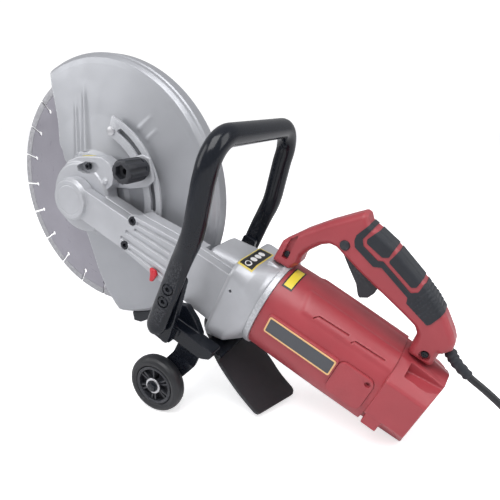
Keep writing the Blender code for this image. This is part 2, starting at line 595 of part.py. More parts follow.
lathe("stator_core", [(30.0, -330.0), (47.5, -330.0), (47.5, -396.0), (30.0, -396.0)], IRON, axis="X", c=(AXIS_Y, AXIS_Z), n=28)
lathe("armature_core", [(6.3, -326.0), (20.0, -322.0), (27.0, -326.0), (29.0, -331.0), (29.0, -395.0), (26.0, -401.0), (18.0, -404.0), (6.3, -402.0)], IRON, axis="X", c=(AXIS_Y, AXIS_Z), n=28)
lathe("commutator", [(6.3, -415.0), (15.0, -415.0), (15.0, -438.0), (6.3, -438.0)], COPPER, axis="X", c=(AXIS_Y, AXIS_Z), n=24)
fan = lathe("cooling_fan", [(6.3, -304.0), (12.0, -304.0), (12.0, -318.0), (44.0, -318.0), (44.0, -320.0), (6.3, -320.0)], BLACK, axis="X", c=(AXIS_Y, AXIS_Z), n=28)
for k in range(9):
    a = radians(40 * k)
    u, t = Vector((cos(a), sin(a))), Vector((-sin(a), cos(a)))
    q = [u * 11.5 - t, u * 42.0 + t * 7, u * 42.0 + t * 9, u * 11.5 + t]
    join(fan, prism("f", [(AXIS_Y + p.x, AXIS_Z + p.y) for p in q], -318.5, -306.0, BLACK, axis="X"))

carrier = lathe("brush_carrier", [(11.3, -446.5), (14.0, -446.5), (14.0, -441.5), (46.0, -441.5), (46.0, -445.0), (16.0, -445.0), (16.0, -456.5), (5.5, -456.5), (5.5, -454.5), (11.3, -454.5)], BLACK, axis="X", c=(AXIS_Y, AXIS_Z), n=28)
for s in (1, -1):
    y0, y1 = AXIS_Y + s * 17.5, AXIS_Y + s * 44
    join(carrier, box("bx", -443, -421, min(y0, y1), max(y0, y1), AXIS_Z - 7, AXIS_Z + 7, BLACK))
    y0, y1 = AXIS_Y + s * 15, AXIS_Y + s * 50
    cut(carrier, box("bc", -433.3, -423.7, min(y0, y1), max(y0, y1), AXIS_Z - 4.3, AXIS_Z + 4.3, BLACK))
    y0, y1 = AXIS_Y + s * 15.4, AXIS_Y + s * 36
    box("carbon_brush_left" if s > 0 else "carbon_brush_right", -433.0, -424.0, min(y0, y1), max(y0, y1), AXIS_Z - 4, AXIS_Z + 4, CARBON)

# =========================================================================
# Rear cover
# =========================================================================
def rear_sec(x, drop=0.0, k=1.0):
    """The cover's section: sloping shoulders, flat sides and a keeled underside. drop slopes the crown and draws the keel in."""
    half = [(0, 48), (22 - drop, 47.5 - drop), (52.5, 31 - drop * 0.3), (55, 28 - drop * 0.3), (55, -17), (52, -21), (16, -53.7 + drop * 0.3), (12, -53.7 + drop * 0.3)]
    pts = [(AXIS_Y + k * y, AXIS_Z + k * z) for y, z in half]
    pts += [(AXIS_Y - k * y, AXIS_Z + k * z) for y, z in reversed(half[1:])]
    return [(x, y, z) for y, z in pts]


def rear_bay(x):
    half = [(0, 29), (44, 22), (50.5, 16), (50.5, -15), (48, -19), (14, -48.5), (0, -49)]
    pts = [(AXIS_Y + y, AXIS_Z + z) for y, z in half] + [(AXIS_Y - y, AXIS_Z + z) for y, z in reversed(half[1:-1])]
    return [(x, y, z) for y, z in pts]


rc = loft("rear_cover", [rear_sec(X_SEAM - GAP, k=0.995), rear_sec(-461), rear_sec(X_REAR, 5.0)], RED)
cut(rc, loft("in", [rear_bay(X_SEAM + 5), rear_bay(X_REAR + 12.0)], RED))
for s in (1, -1):
    y = lambda q: AXIS_Y + s * q
    a, b = min(y(19), y(39.5)), max(y(19), y(39.5))
    cut(rc, prism("scoop", [(-471.5, 51.0), (-471.5, 80), (-530, 80), (-530, 58.6)], a, b, RED))
    cut(rc, prism("crown", [(X_REAR - 5, y(17)), (X_REAR, y(17)), (X_REAR + 8.5, y(55)), (X_REAR + 12, y(70)), (X_REAR - 5, y(70))], -60, 100, RED, axis="Z"))

# =========================================================================
# Rear D-handle, trigger and cord
# =========================================================================
outer = [(-279, 72.3), (-280, 100), (-285, 107), (-298, 126), (-318, 150), (-338, 171), (-346, 179), (-351, 178.5), (-357, 172), (-368, 170), (-393, 164), (-432, 149), (-456, 138),
         (-474, 126.5), (-484, 118), (-489, 114), (-496, 106), (-498, 97), (-492, 86.5), (-489.5, 86), (-490.5, 70), (-488, 66.8)]
inner_line = [(-464, 66.8), (-462, 72), (-461, 84), (-459, 92), (-453, 98), (-441, 101.5), (-404, 110.5), (-400, 111), (-372, 118), (-338, 128.5), (-330, 127.5), (-322, 121), (-312, 106), (-309, 96), (-310, 86), (-303, 72.3)]
d_out = outer + inner_line


def shrink(poly, d):
    """Insets a polygon by d (counter-clockwise or clockwise)."""
    n = len(poly)
    area = sum(poly[i][0] * poly[(i + 1) % n][1] - poly[(i + 1) % n][0] * poly[i][1] for i in range(n))
    s = 1 if area > 0 else -1
    res = []
    for i in range(n):
        a, b, c = Vector(poly[i - 1]), Vector(poly[i]), Vector(poly[(i + 1) % n])
        e0, e1 = (b - a).normalized(), (c - b).normalized()
        n0, n1 = Vector((-e0.y, e0.x)) * s, Vector((-e1.y, e1.x)) * s
        m = (n0 + n1)
        m = m.normalized() if m.length > 1e-6 else n0
        k = d / max(m.dot(n0), 0.45)
        res.append((b.x + m.x * k, b.y + m.y * k))
    return res


d_core = shrink(d_out, 3.0)
d_in2 = shrink(d_out, 1.6)
HALF = 16.0
halves = {}
for s, nm in ((1, "rear_handle_left"), (-1, "rear_handle_right")):
    ya, yb, yc = AXIS_Y + s * 0.15, AXIS_Y + s * (HALF - 3.0), AXIS_Y + s * HALF
    npt = len(d_out)
    v = [(x, ya, z) for x, z in d_out] + [(x, yb, z) for x, z in d_out] + [(x, yc, z) for x, z in d_in2]
    f = [tuple(range(npt)), tuple(range(2 * npt, 3 * npt))]
    for i in range(npt):
        j = (i + 1) % npt
        f += [(i, j, npt + j, npt + i), (npt + i, npt + j, 2 * npt + j, 2 * npt + i)]
    h = new(nm, v, f, RED)
    y0, y1 = AXIS_Y - s * 1.0, AXIS_Y + s * (HALF - 3.2)
    cut(h, prism("c1", [(-330, 140), (-345, 165), (-372, 160), (-430, 141), (-474, 117), (-480, 108), (-470, 100), (-440, 107), (-402, 116.5), (-372, 124), (-344, 134)], min(y0, y1), max(y0, y1), RED))
    y0, y1 = AXIS_Y - s * 1.0, AXIS_Y + s * 9.4
    cut(h, prism("c2", [(-334, 138.5), (-344, 123), (-372, 113), (-404, 105), (-405.5, 125.5), (-372, 130.5), (-352, 136)], min(y0, y1), max(y0, y1), RED))
    cut(h, disc("fl", 59.0 + 2 * GAP, -315, -290.5, RED, axis="X", c=(AXIS_Y, AXIS_Z), n=48))
    halves[s] = h
btn_c = (-346.0, 137.5)
cut(halves[1], disc("bt", 6.0, 20.0, 60.0, RED, c=btn_c, n=20))
cordhole = sweep("ch", [(-470, AXIS_Y, 108), (-520, AXIS_Y, 76)], lambda i: (5.6, 5.6), RED, n=14)
cordhole2 = sweep("ch2", [(-470, AXIS_Y, 108), (-520, AXIS_Y, 76)], lambda i: (5.6, 5.6), RED, n=14)
boolean(halves[1], cordhole)
boolean(halves[-1], cordhole2)

# soft grip that wraps the back of the handle
band = [(-364, 172.3), (-369, 171.8), (-394, 165.8), (-433, 150.8), (-457, 139.8), (-470.5, 131), (-463, 117), (-450, 124), (-428, 133), (-392, 148), (-374, 152), (-362, 158)]
grip = prism("grip_overmould", band, AXIS_Y - HALF - 1.4, AXIS_Y + HALF + 1.4, RUBBER)
npt = len(d_out)
big = shrink(d_out, -GAP)
cut(grip, prism("gc", big, AXIS_Y - HALF - GAP, AXIS_Y + HALF + GAP, RUBBER))

trig = prism("trigger", [(-344.8, 127.4), (-347.5, 132.5), (-353, 130), (-372, 124.5), (-399, 117.5), (-399.5, 104), (-396, 95), (-388, 89.5), (-384.5, 92), (-377, 102), (-362, 113.5)], AXIS_Y - 8.8, AXIS_Y + 8.8, BLACK)
disc("lock_button", 5.6, 42.3, 49.0, BLACK, c=btn_c, n=20, bev=0.8)
box("switch_module", -398, -358, AXIS_Y - 9.5, AXIS_Y + 9.5, 132.5, 146.0, BLACK)

sweep("cord_guard", [(-481, AXIS_Y, 101.0), (-497, AXIS_Y, 90.8), (-510, AXIS_Y, 83.0), (-528, AXIS_Y, 77.0)], lambda i: [(5.2, 5.2), (5.2, 5.2), (7.0, 7.0), (5.8, 5.8)][i], RUBBER, n=14)
cg = bpy.data.objects["cord_guard"]
cut(cg, sweep("cgc", [(-470, AXIS_Y, 108.0), (-497, AXIS_Y, 90.8), (-510, AXIS_Y, 83.0), (-528, AXIS_Y, 77.0), (-540, AXIS_Y, 74)], lambda i: (4.4, 4.4), RUBBER, n=12))
cord_path = [(-482, AXIS_Y, 100.4), (-497, AXIS_Y, 90.8), (-510, AXIS_Y, 83.0), (-528, AXIS_Y, 77.0), (-552, AXIS_Y, 73), (-576, AXIS_Y, 67.5), (-600, AXIS_Y, 60)]
sweep("power_cord", cord_path, lambda i: (4.1, 4.1), RUBBER, n=12)

# =========================================================================
# Front handle, brackets, wheels, flap
# =========================================================================
def handle_path():
    """Left foot, kink, bend over the top and down to the right foot."""
    foot, kink, top = (-211.0, -44.0), (-213.0, 93.0), (-194.0, 195.0)
    P, R = [], []
    y = AXIS_Y + LEG_OFF
    for z, w, d in ((-49.0, 4.2, 4.6), (-47.0, 8.2, 5.8), (-43.5, 11.2, 6.3), (-38.0, 12.7, 6.5), (-20, 12.7, 6.5), (20, 12.6, 6.5), (56, 12.5, 6.5)):
        P.append((-211, y, z)); R.append((w, d))
    P.append((-211.6, y, 70)); R.append((12.6, 10.0))
    P.append((-212.4, y, 82)); R.append((12.7, 12.7))
    P.append((-211.5, y, 96)); R.append((12.7, 12.7))
    P.append((-209, y, 112)); R.append((12.7, 12.7))
    br = 34.0
    x1, z1 = top
    lean = (top[0] - kink[0]) / (top[1] - kink[1])
    for k in range(0, 7):
        a = radians(90 * k / 6)
        zz = z1 - br + br * sin(a)
        P.append((x1 + (zz - z1) * lean, y - br + br * cos(a), zz)); R.append((12.7, 12.7))
    half = [(p, r) for p, r in zip(P, R)]
    other = [((p[0], 2 * AXIS_Y - p[1], p[2]), r) for p, r in reversed(half)]
    allp = half + other
    return [p for p, r in allp], [r for p, r in allp]


hp, hr = handle_path()
fh = sweep("front_handle", hp, lambda i: hr[i], PAINT, n=12, up=(0, 1, 0))
for s in (1, -1):
    for z in (18.0, 0.0):
        yy = AXIS_Y + s * LEG_OFF
        cut(fh, disc("hb", 4.3, yy - 15, yy + 15, PAINT, c=(-211, z), n=14))
        cut(fh, disc("sk", 6.9, min(yy + s * 1.2, yy + s * 15), max(yy + s * 1.2, yy + s * 15), PAINT, c=(-211, z), n=20))

cb = box("cross_bracket", -288, -258, AXIS_Y - 58, AXIS_Y + 58, -60.5, -56.0, PAINT)
for s in (1, -1):
    f = lambda q: AXIS_Y + s * q
    mm = lambda a, b: (min(f(a), f(b)), max(f(a), f(b)))
    a, b = mm(57.5, 78)
    bar = prism("bar", round_poly([(-202, -42), (-202, -57), (-214, -60.5), (-270, -60.5), (-282, -53), (-283, -42)], 4, 2), a, b, PAINT)
    a, b = mm(78 - 0.2, 89)
    bar2 = prism("bar2", [(-202, -45), (-202, -58), (-230, -60), (-230, -45)], a, b, PAINT)
    a, b = mm(89 - 4.5, 93.5)
    up = prism("up", round_poly([(-201, -58), (-201, 32), (-221, 32), (-228, -20), (-230, -60)], 5, 2), a, b, PAINT)
    a, b = mm(52, 62)
    gus = prism("gusset", round_poly([(-254, -44), (-240, -30), (-222, -20), (-207, -27), (-204, -44), (-214, -58), (-254, -58)], 4, 2), a, b, PAINT)
    join(cb, bar, bar2, up, gus)
    for z in (18.0, 0.0):
        cut(cb, disc("hb", 4.3, f(80) - 8 if s > 0 else f(95) - 8, f(95) + 8 if s > 0 else f(80) + 8, PAINT, c=(-211, z), n=14))
    # bolts: head outboard, nut side inboard
    for z, tag in ((18.0, "upper"), (0.0, "lower")):
        st = [(0, 82.0), (4.0, 82.0), (4.0, 102.0), (6.4, 102.0), (6.4, 106.3), (3.0, 106.3), (3.0, 104.0), (0, 104.0)]
        prof = [(r, AXIS_Y + s * q) for r, q in st]
        lathe("handle_bolt_%s_%s" % ("left" if s > 0 else "right", tag), prof, PAINT, c=(-211, z), n=12)

    side = "left" if s > 0 else "right"
    # bent strip from the bracket bar down to the wheel
    path = [(75.0, -61.8), (69.5, -82.0), (73.0, -104.0), (73.0, -135.0)]
    th = 4.0
    xs = [(-268, -236), (-266, -233), (-259, -226), (-251, -221)]
    rings = []
    P2 = [Vector((p[0], p[1])) for p in path]
    for i, p in enumerate(P2):
        t = (P2[min(i + 1, 3)] - P2[max(i - 1, 0)]).normalized()
        nrm = Vector((-t.y, t.x)) * (th / 2)
        x0, x1 = xs[i]
        q0, q1 = p + nrm, p - nrm
        rings.append([(x0, f(q0.x), q0.y), (x1, f(q0.x), q0.y), (x1, f(q1.x), q1.y), (x0, f(q1.x), q1.y)])
    wb = loft("wheel_bracket_" + side, rings, PAINT)
    a, b = mm(64, 82)
    cut(wb, disc("ax", 4.4, a, b, PAINT, c=(WHEEL_X, WHEEL_Z), n=16))
    # wheel
    hub_in, hub_out = WHEEL_Y0 - AXIS_Y, WHEEL_Y1 - AXIS_Y
    prof = [(5.0, hub_in + 1), (11, hub_in + 1), (13, hub_in + 5), (20.0, hub_in + 6), (23, hub_in + 1), (31.5, hub_in + 0.5), (36, hub_in + 4), (37.5, hub_in + 9), (37.5, hub_out - 9), (36, hub_out - 4), (31.5, hub_out - 0.5), (23, hub_out - 1), (20, hub_out - 6), (13, hub_out - 5), (11, hub_out - 1), (5.0, hub_out - 1)]
    w = lathe("wheel_" + side, [(r, f(q)) for r, q in prof], RUBBER, c=(WHEEL_X, WHEEL_Z), n=24)
    st = [(0, 67.0), (4.1, 67.0), (4.1, hub_out - 0.6), (7.5, hub_out - 0.6), (7.5, hub_out + 3.6), (0, hub_out + 3.6)]
    lathe("axle_bolt_" + side, [(r, f(q)) for r, q in st], PAINT, c=(WHEEL_X, WHEEL_Z), n=18)

# splash flap: a rubber sheet hanging back from under the bracket, its far edge set further back
FLAP_NEAR = [(-274.0, -64.5), (-293.0, -75.0), (-328.0, -88.5), (-364.0, -97.3)]
FLAP_FAR = [(-286.0, -64.5), (-324.0, -74.0), (-352.0, -83.5), (-381.0, -89.0)]
FLAP_Y = [(78.0, 2.0), (80.0, 6.0), (83.0, 11.0), (86.0, 16.0)]
FLAP_T = 4.0
rows = []
for k in range(4):
    nv, fv = Vector(FLAP_NEAR[k]), Vector(FLAP_FAR[k])
    d0 = Vector(FLAP_NEAR[min(k + 1, 3)]) - Vector(FLAP_NEAR[max(k - 1, 0)])
    nrm = Vector((-d0.y, d0.x)).normalized() * (FLAP_T / 2)
    nrm = nrm if nrm.y > 0 else -nrm
    e = 9.0 if k == 3 else 0.0
    yN, yF = FLAP_Y[k]
    rows.append([(nv.x + nrm.x, yN - e, nv.y + nrm.y), (fv.x + nrm.x, yF + e, fv.y + nrm.y), (fv.x - nrm.x, yF + e, fv.y - nrm.y), (nv.x - nrm.x, yN - e, nv.y - nrm.y)])
    if k == 2:
        q = 0.72
        nv, fv = nv.lerp(Vector(FLAP_NEAR[3]), q), fv.lerp(Vector(FLAP_FAR[3]), q)
        yN, yF = yN + (FLAP_Y[3][0] - yN) * q, yF + (FLAP_Y[3][1] - yF) * q
        rows.append([(nv.x + nrm.x, yN, nv.y + nrm.y), (fv.x + nrm.x, yF, fv.y + nrm.y), (fv.x - nrm.x, yF, fv.y - nrm.y), (nv.x - nrm.x, yN, nv.y - nrm.y)])
loft("splash_flap", rows, RUBBER)

# clamp stud and knob of the guard
sc = (CLAMP_X, CLAMP_Z)
st = lathe("guard_clamp_bolt", [(0, 26.0), (7.5, 26.0), (7.5, 30.5), (3.8, 30.5), (3.8, 60.0), (0, 60.0)], STEEL, c=sc, n=16)
kn = lathe("clamp_knob", [(4.1, 42.0), (12.5, 42.0), (14.2, 44.0), (15.6, 58.0), (15.6, 78.5), (13.6, 82.0), (4.1, 82.0)], BLACK, c=sc, n=36)
for k in range(9):
    a = radians(40 * k + 10)
    cut(kn, disc("fl", 2.4, 46.0, 90.0, BLACK, c=(sc[0] + 17.0 * cos(a), sc[1] + 17.0 * sin(a)), n=8))

# small lock lever under the arm
lv = prism("arm_lock_lever", round_poly([(-147, -13.5), (-159, -13.5), (-164, -18), (-161, -30), (-155, -32), (-152, -21)], 2, 2), COVER_Y + GAP, 80.5, LEVER)

# =========================================================================
# Placing: every body is hung from one frame, with its origin on its own axis
# =========================================================================
frame = bpy.data.objects.new("saw_frame", None)
COLL.objects.link(frame)
frame.rotation_euler = (0, -radians(PITCH_DEG), 0)
frame.location = (BASE_X, BASE_Y, BASE_Z)

SPINDLE = ["blade", "spindle", "outer_flange", "arbor_bolt", "driven_pulley", "blade_guard", "guard_arc_bracket", "guard_deflector"]
JACK = ["jackshaft", "ring_gear", "drive_pulley"]
ARMATURE = ["armature_shaft", "armature_core", "commutator", "cooling_fan"]
ORIGINS = {}
for nme in SPINDLE:
    ORIGINS[nme] = (0, 0, 0)
for nme in JACK:
    ORIGINS[nme] = (JACK_X, AXIS_Y, AXIS_Z)
for nme in ARMATURE:
    ORIGINS[nme] = (-360, AXIS_Y, AXIS_Z)
ORIGINS["clamp_knob"] = (CLAMP_X, 62, CLAMP_Z)
ORIGINS["trigger"] = (-346.0, AXIS_Y, 129.0)
ORIGINS["lock_button"] = (btn_c[0], 44.0, btn_c[1])
ORIGINS["wheel_left"] = (WHEEL_X, (WHEEL_Y0 + WHEEL_Y1) / 2, WHEEL_Z)
ORIGINS["wheel_right"] = (WHEEL_X, mirror_y((WHEEL_Y0 + WHEEL_Y1) / 2), WHEEL_Z)
ORIGINS["arm_lock_lever"] = (-155.0, 78.0, -17.5)

for ob in [o for o in COLL.objects if o.type == "MESH"]:
    if ob.name in ORIGINS:
        o = Vector(ORIGINS[ob.name]) * MM
    else:
        pts = [v.co for v in ob.data.vertices]
        o = sum(pts, Vector()) / len(pts)
    ob.data.transform(Matrix.Translation(-o))
    ob.location = o
    ob.parent = frame
    bm = bmesh.new()
    bm.from_mesh(ob.data)
    bmesh.ops.remove_doubles(bm, verts=bm.verts, dist=2e-6)
    bmesh.ops.dissolve_degenerate(bm, edges=bm.edges, dist=1e-7)
    bmesh.ops.dissolve_limit(bm, angle_limit=0.0015, verts=bm.verts, edges=bm.edges)
    bmesh.ops.triangulate(bm, faces=bm.faces)
    bm.to_mesh(ob.data)
    bm.free()
    ob.data.shade_smooth()
    ob.data.set_sharp_from_angle(angle=radians(35))
bpy.context.view_layer.update()
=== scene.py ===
import bpy
import bmesh
from math import sin, cos, tan, pi, radians, degrees, hypot, atan2, sqrt, exp
from mathutils import Matrix, Vector
from mathutils.bvhtree import BVHTree


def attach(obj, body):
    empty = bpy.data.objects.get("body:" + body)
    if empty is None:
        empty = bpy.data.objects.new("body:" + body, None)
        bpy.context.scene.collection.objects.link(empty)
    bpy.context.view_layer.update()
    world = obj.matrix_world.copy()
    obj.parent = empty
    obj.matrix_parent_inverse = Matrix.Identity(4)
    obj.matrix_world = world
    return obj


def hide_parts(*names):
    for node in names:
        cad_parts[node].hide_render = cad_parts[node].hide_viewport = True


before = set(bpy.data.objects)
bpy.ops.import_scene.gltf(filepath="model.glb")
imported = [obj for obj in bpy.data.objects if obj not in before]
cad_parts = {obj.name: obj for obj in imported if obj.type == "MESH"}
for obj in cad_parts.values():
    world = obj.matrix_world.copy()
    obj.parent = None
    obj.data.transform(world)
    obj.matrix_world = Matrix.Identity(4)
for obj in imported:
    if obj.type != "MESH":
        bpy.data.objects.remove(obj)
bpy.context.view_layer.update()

# Shapes are written in the saw's own frame in millimetres: origin on the spindle at the blade's near face,
# +X forward along the body, +Y to the saw's left, +Z up. FR sets that frame, pitched nose up, in the row frame.
MM = 0.001
GAP = 0.3
FR = Matrix.Translation((0.1980, -0.0300, 0.2503)) @ Matrix.Rotation(-radians(25.26), 4, "Y")
AXIS_Y, AXIS_Z = 30.0, 18.0
JACK_X = -230.0
WHEEL_X, WHEEL_Z, WHEEL_R = -236.0, -124.08, 37.5
CLAMP_X, CLAMP_Z = -69.0, 80.5
ARC_R = 106.0
Y_SPLIT, COVER_Y = 60.0, 75.5
X_FLANGE, X_SEAM, X_REAR = -304.0, -458.0, -513.0
COLL = bpy.context.scene.collection


# ---------------------------------------------------------------- materials
def finish(name, rgb, rough, metal=0.0, coat=0.0, grain=0.5, grain_h=0.02, tint=0.10, rvar=0.10, wear=None, wear_amt=0.0,
           patch=45.0, grain2=None, spec=0.5, polar=None, sheen=0.0, coat_rough=0.12):
    """A procedural surface. grain is the size of the fine texture in mm and grain_h its height in mm; patch is the size in mm of the
    slow colour drift; wear is the colour that shows on sharp edges; polar adds turning marks about the frame's Y axis."""
    m = bpy.data.materials.new(name)
    m.use_nodes = True
    nt = m.node_tree
    N, L = nt.nodes, nt.links
    b = N["Principled BSDF"]
    b.inputs["Metallic"].default_value = metal
    b.inputs["Coat Weight"].default_value = coat
    b.inputs["Coat Roughness"].default_value = coat_rough
    b.inputs["Specular IOR Level"].default_value = spec
    b.inputs["Sheen Weight"].default_value = sheen
    tc = N.new("ShaderNodeTexCoord")

    def noise(size, detail=3.0, rough_n=0.55, vec=None):
        n = N.new("ShaderNodeTexNoise")
        n.inputs["Scale"].default_value = 1.0 / (size * MM)
        n.inputs["Detail"].default_value = detail
        n.inputs["Roughness"].default_value = rough_n
        L.new(vec or tc.outputs["Object"], n.inputs["Vector"])
        return n.outputs["Fac"]

    def rng(src, a0, a1, b0, b1):
        r = N.new("ShaderNodeMapRange")
        for k, val in (("From Min", a0), ("From Max", a1), ("To Min", b0), ("To Max", b1)):
            r.inputs[k].default_value = val
        L.new(src, r.inputs["Value"])
        return r.outputs["Result"]

    def math(op, a, c):
        q = N.new("ShaderNodeMath")
        q.operation = op
        for i, val in enumerate((a, c)):
            if isinstance(val, (int, float)):
                q.inputs[i].default_value = val
            else:
                L.new(val, q.inputs[i])
        return q.outputs[0]

    drift = rng(noise(patch, 4.0), 0.3, 0.7, 1.0 - tint, 1.0 + tint)
    rgbn = N.new("ShaderNodeRGB")
    rgbn.outputs[0].default_value = (*rgb, 1.0)
    sc = N.new("ShaderNodeVectorMath")
    sc.operation = "SCALE"
    L.new(rgbn.outputs[0], sc.inputs[0])
    L.new(drift, sc.inputs["Scale"])
    col = sc.outputs[0]
    ro = rng(noise(patch * 0.35, 5.0), 0.25, 0.75, max(0.02, rough - rvar), min(1.0, rough + rvar))
    h = noise(grain, 2.0)
    if grain2:
        h = math("ADD", h, math("MULTIPLY", noise(grain2[0], 3.0), grain2[1]))
    if polar:
        sep = N.new("ShaderNodeSeparateXYZ")
        L.new(tc.outputs["Object"], sep.inputs[0])
        rr = math("SQRT", math("ADD", math("MULTIPLY", sep.outputs["X"], sep.outputs["X"]), math("MULTIPLY", sep.outputs["Z"], sep.outputs["Z"])), 0)
        an = math("ARCTAN2", sep.outputs["Z"], sep.outputs["X"])
        cb = N.new("ShaderNodeCombineXYZ")
        L.new(math("MULTIPLY", rr, 1.0 / (polar * MM)), cb.inputs["X"])
        L.new(math("MULTIPLY", an, 3.0), cb.inputs["Y"])
        n = N.new("ShaderNodeTexNoise")
        n.inputs["Scale"].default_value = 1.0
        n.inputs["Detail"].default_value = 3.0
        L.new(cb.outputs[0], n.inputs["Vector"])
        h = math("ADD", math("MULTIPLY", h, 0.4), n.outputs["Fac"])
        ro = math("ADD", ro, rng(n.outputs["Fac"], 0.3, 0.7, -0.07, 0.07))
    if wear:
        geo = N.new("ShaderNodeNewGeometry")
        edge = rng(geo.outputs["Pointiness"], 0.515, 0.57, 0.0, 1.0)
        mask = math("MULTIPLY", edge, rng(noise(2.5, 5.0), 0.42, 0.62, 0.0, wear_amt))
        mx = N.new("ShaderNodeMix")
        mx.data_type = "RGBA"
        L.new(mask, mx.inputs["Factor"])
        L.new(col, mx.inputs["A"])
        mx.inputs["B"].default_value = (*wear, 1.0)
        col = mx.outputs["Result"]
    L.new(col, b.inputs["Base Color"])
    L.new(ro, b.inputs["Roughness"])
    bp = N.new("ShaderNodeBump")
    bp.inputs["Strength"].default_value = 1.0
    bp.inputs["Distance"].default_value = grain_h * MM
    L.new(h, bp.inputs["Height"])
    L.new(bp.outputs[0], b.inputs["Normal"])
    return m


M = {
    "red": finish("red_nylon", (0.36, 0.048, 0.060), 0.40, grain=0.45, grain_h=0.030, tint=0.07, rvar=0.07, wear=(0.60, 0.18, 0.18), wear_amt=0.25, coat=0.05, coat_rough=0.35),
    "alu": finish("grey_casting", (0.465, 0.474, 0.50), 0.40, metal=0.35, grain=0.9, grain_h=0.035, tint=0.06, rvar=0.08, wear=(0.72, 0.73, 0.75), wear_amt=0.5, grain2=(7.0, 1.2)),
    "alu_smooth": finish("grey_guard", (0.375, 0.384, 0.408), 0.38, metal=0.40, grain=0.8, grain_h=0.020, tint=0.05, rvar=0.07, wear=(0.72, 0.73, 0.75), wear_amt=0.4, grain2=(14.0, 1.5), patch=80.0),
    "black": finish("black_nylon", (0.020, 0.022, 0.028), 0.46, grain=0.4, grain_h=0.030, tint=0.15, rvar=0.08, wear=(0.09, 0.09, 0.10), wear_amt=0.4),
    "rubber": finish("grip_rubber", (0.012, 0.015, 0.021), 0.6, grain=0.6, grain_h=0.045, tint=0.15, rvar=0.08, sheen=0.06, wear=(0.06, 0.065, 0.075), wear_amt=0.3),
    "tyre": finish("tyre_rubber", (0.014, 0.015, 0.018), 0.45, grain=0.8, grain_h=0.04, tint=0.18, rvar=0.10, wear=(0.07, 0.07, 0.07), wear_amt=0.4),
    "paint": finish("black_gloss_paint", (0.007, 0.009, 0.014), 0.2, metal=0.0, coat=0.14, coat_rough=0.08, grain=1.6, grain_h=0.012, tint=0.12, rvar=0.05, spec=0.26, wear=(0.10, 0.10, 0.11), wear_amt=0.3),
    "foam": finish("handle_sleeve", (0.012, 0.013, 0.016), 0.42, grain=0.7, grain_h=0.05, tint=0.12, rvar=0.06),
    "core": finish("blade_core_steel", (0.33, 0.32, 0.36), 0.36, metal=0.6, grain=0.5, grain_h=0.010, tint=0.05, rvar=0.06, polar=0.55, patch=60.0),
    "segment": finish("diamond_segment", (0.40, 0.40, 0.42), 0.58, metal=0.45, grain=0.55, grain_h=0.10, tint=0.16, rvar=0.10, patch=6.0),
    "steel": finish("turned_steel", (0.55, 0.55, 0.56), 0.30, metal=1.0, grain=0.5, grain_h=0.010, tint=0.06, rvar=0.08, polar=0.4),
    "zinc": finish("zinc_ring", (0.58, 0.58, 0.60), 0.32, metal=0.9, grain=0.6, grain_h=0.012, tint=0.08, rvar=0.08),
    "copper": finish("copper_bar", (0.72, 0.33, 0.16), 0.32, metal=1.0, grain=0.5, grain_h=0.01),
    "iron": finish("lamination_stack", (0.24, 0.24, 0.25), 0.45, metal=0.8, grain=0.5, grain_h=0.03),
    "carbon": finish("brush_carbon", (0.03, 0.03, 0.03), 0.7, grain=0.4, grain_h=0.02),
    "plate": finish("plate_print", (0.060, 0.064, 0.075), 0.36, grain=0.5, grain_h=0.008, tint=0.06, rvar=0.04, coat=0.2),
    "cream": finish("plate_border", (0.80, 0.50, 0.22), 0.38, grain=0.5, grain_h=0.006, tint=0.05, rvar=0.04),
    "yellow": finish("label_yellow", (0.80, 0.66, 0.06), 0.35, grain=0.6, grain_h=0.006, tint=0.05, rvar=0.04),
    "gold": finish("label_gold", (0.70, 0.56, 0.12), 0.35, grain=0.6, grain_h=0.006, tint=0.06, rvar=0.04),
    "ink": finish("label_black", (0.015, 0.015, 0.017), 0.35, grain=0.6, grain_h=0.006, tint=0.08, rvar=0.04),
    "white": finish("label_white", (0.78, 0.78, 0.78), 0.4, grain=0.6, grain_h=0.006, tint=0.04, rvar=0.04),
    "lever": finish("lever_red", (0.58, 0.022, 0.035), 0.30, grain=0.5, grain_h=0.015, tint=0.06, rvar=0.05),
    "flap": finish("flap_rubber", (0.020, 0.021, 0.025), 0.55, grain=0.9, grain_h=0.05, tint=0.14, rvar=0.09, sheen=0.1, wear=(0.06, 0.06, 0.065), wear_amt=0.3, grain2=(20.0, 1.5)),
    "cord": finish("cord_jacket", (0.016, 0.017, 0.020), 0.45, grain=0.7, grain_h=0.02, tint=0.12, rvar=0.08),
}


# ---------------------------------------------------------------- mesh tools
def new(name, verts, faces):
    bm = bmesh.new()
    vs = [bm.verts.new((x * MM, y * MM, z * MM)) for x, y, z in verts]
    for f in faces:
        u = []
        for i in f:
            if vs[i] not in u:
                u.append(vs[i])
        if len(u) > 2:
            try:
                bm.faces.new(u)
            except ValueError:
                pass
    bmesh.ops.remove_doubles(bm, verts=bm.verts, dist=1e-6)
    bmesh.ops.dissolve_degenerate(bm, edges=bm.edges, dist=1e-7)
    bmesh.ops.delete(bm, geom=[e for e in bm.edges if not e.link_faces], context="EDGES")
    bmesh.ops.delete(bm, geom=[w for w in bm.verts if not w.link_edges], context="VERTS")
    bmesh.ops.recalc_face_normals(bm, faces=bm.faces)
    if bm.calc_volume(signed=True) < 0:
        bmesh.ops.reverse_faces(bm, faces=bm.faces)
    me = bpy.data.meshes.new(name)
    bm.to_mesh(me)
    bm.free()
    ob = bpy.data.objects.new(name, me)
    COLL.objects.link(ob)
    ob.matrix_world = FR
    return ob


def bake(ob):
    """Puts the object's modifiers into its mesh."""
    bpy.context.view_layer.update()
    dg = bpy.context.evaluated_depsgraph_get()
    me = bpy.data.meshes.new_from_object(ob.evaluated_get(dg))
    ob.modifiers.clear()
    old = ob.data
    ob.data = me
    bpy.data.meshes.remove(old)
    return ob


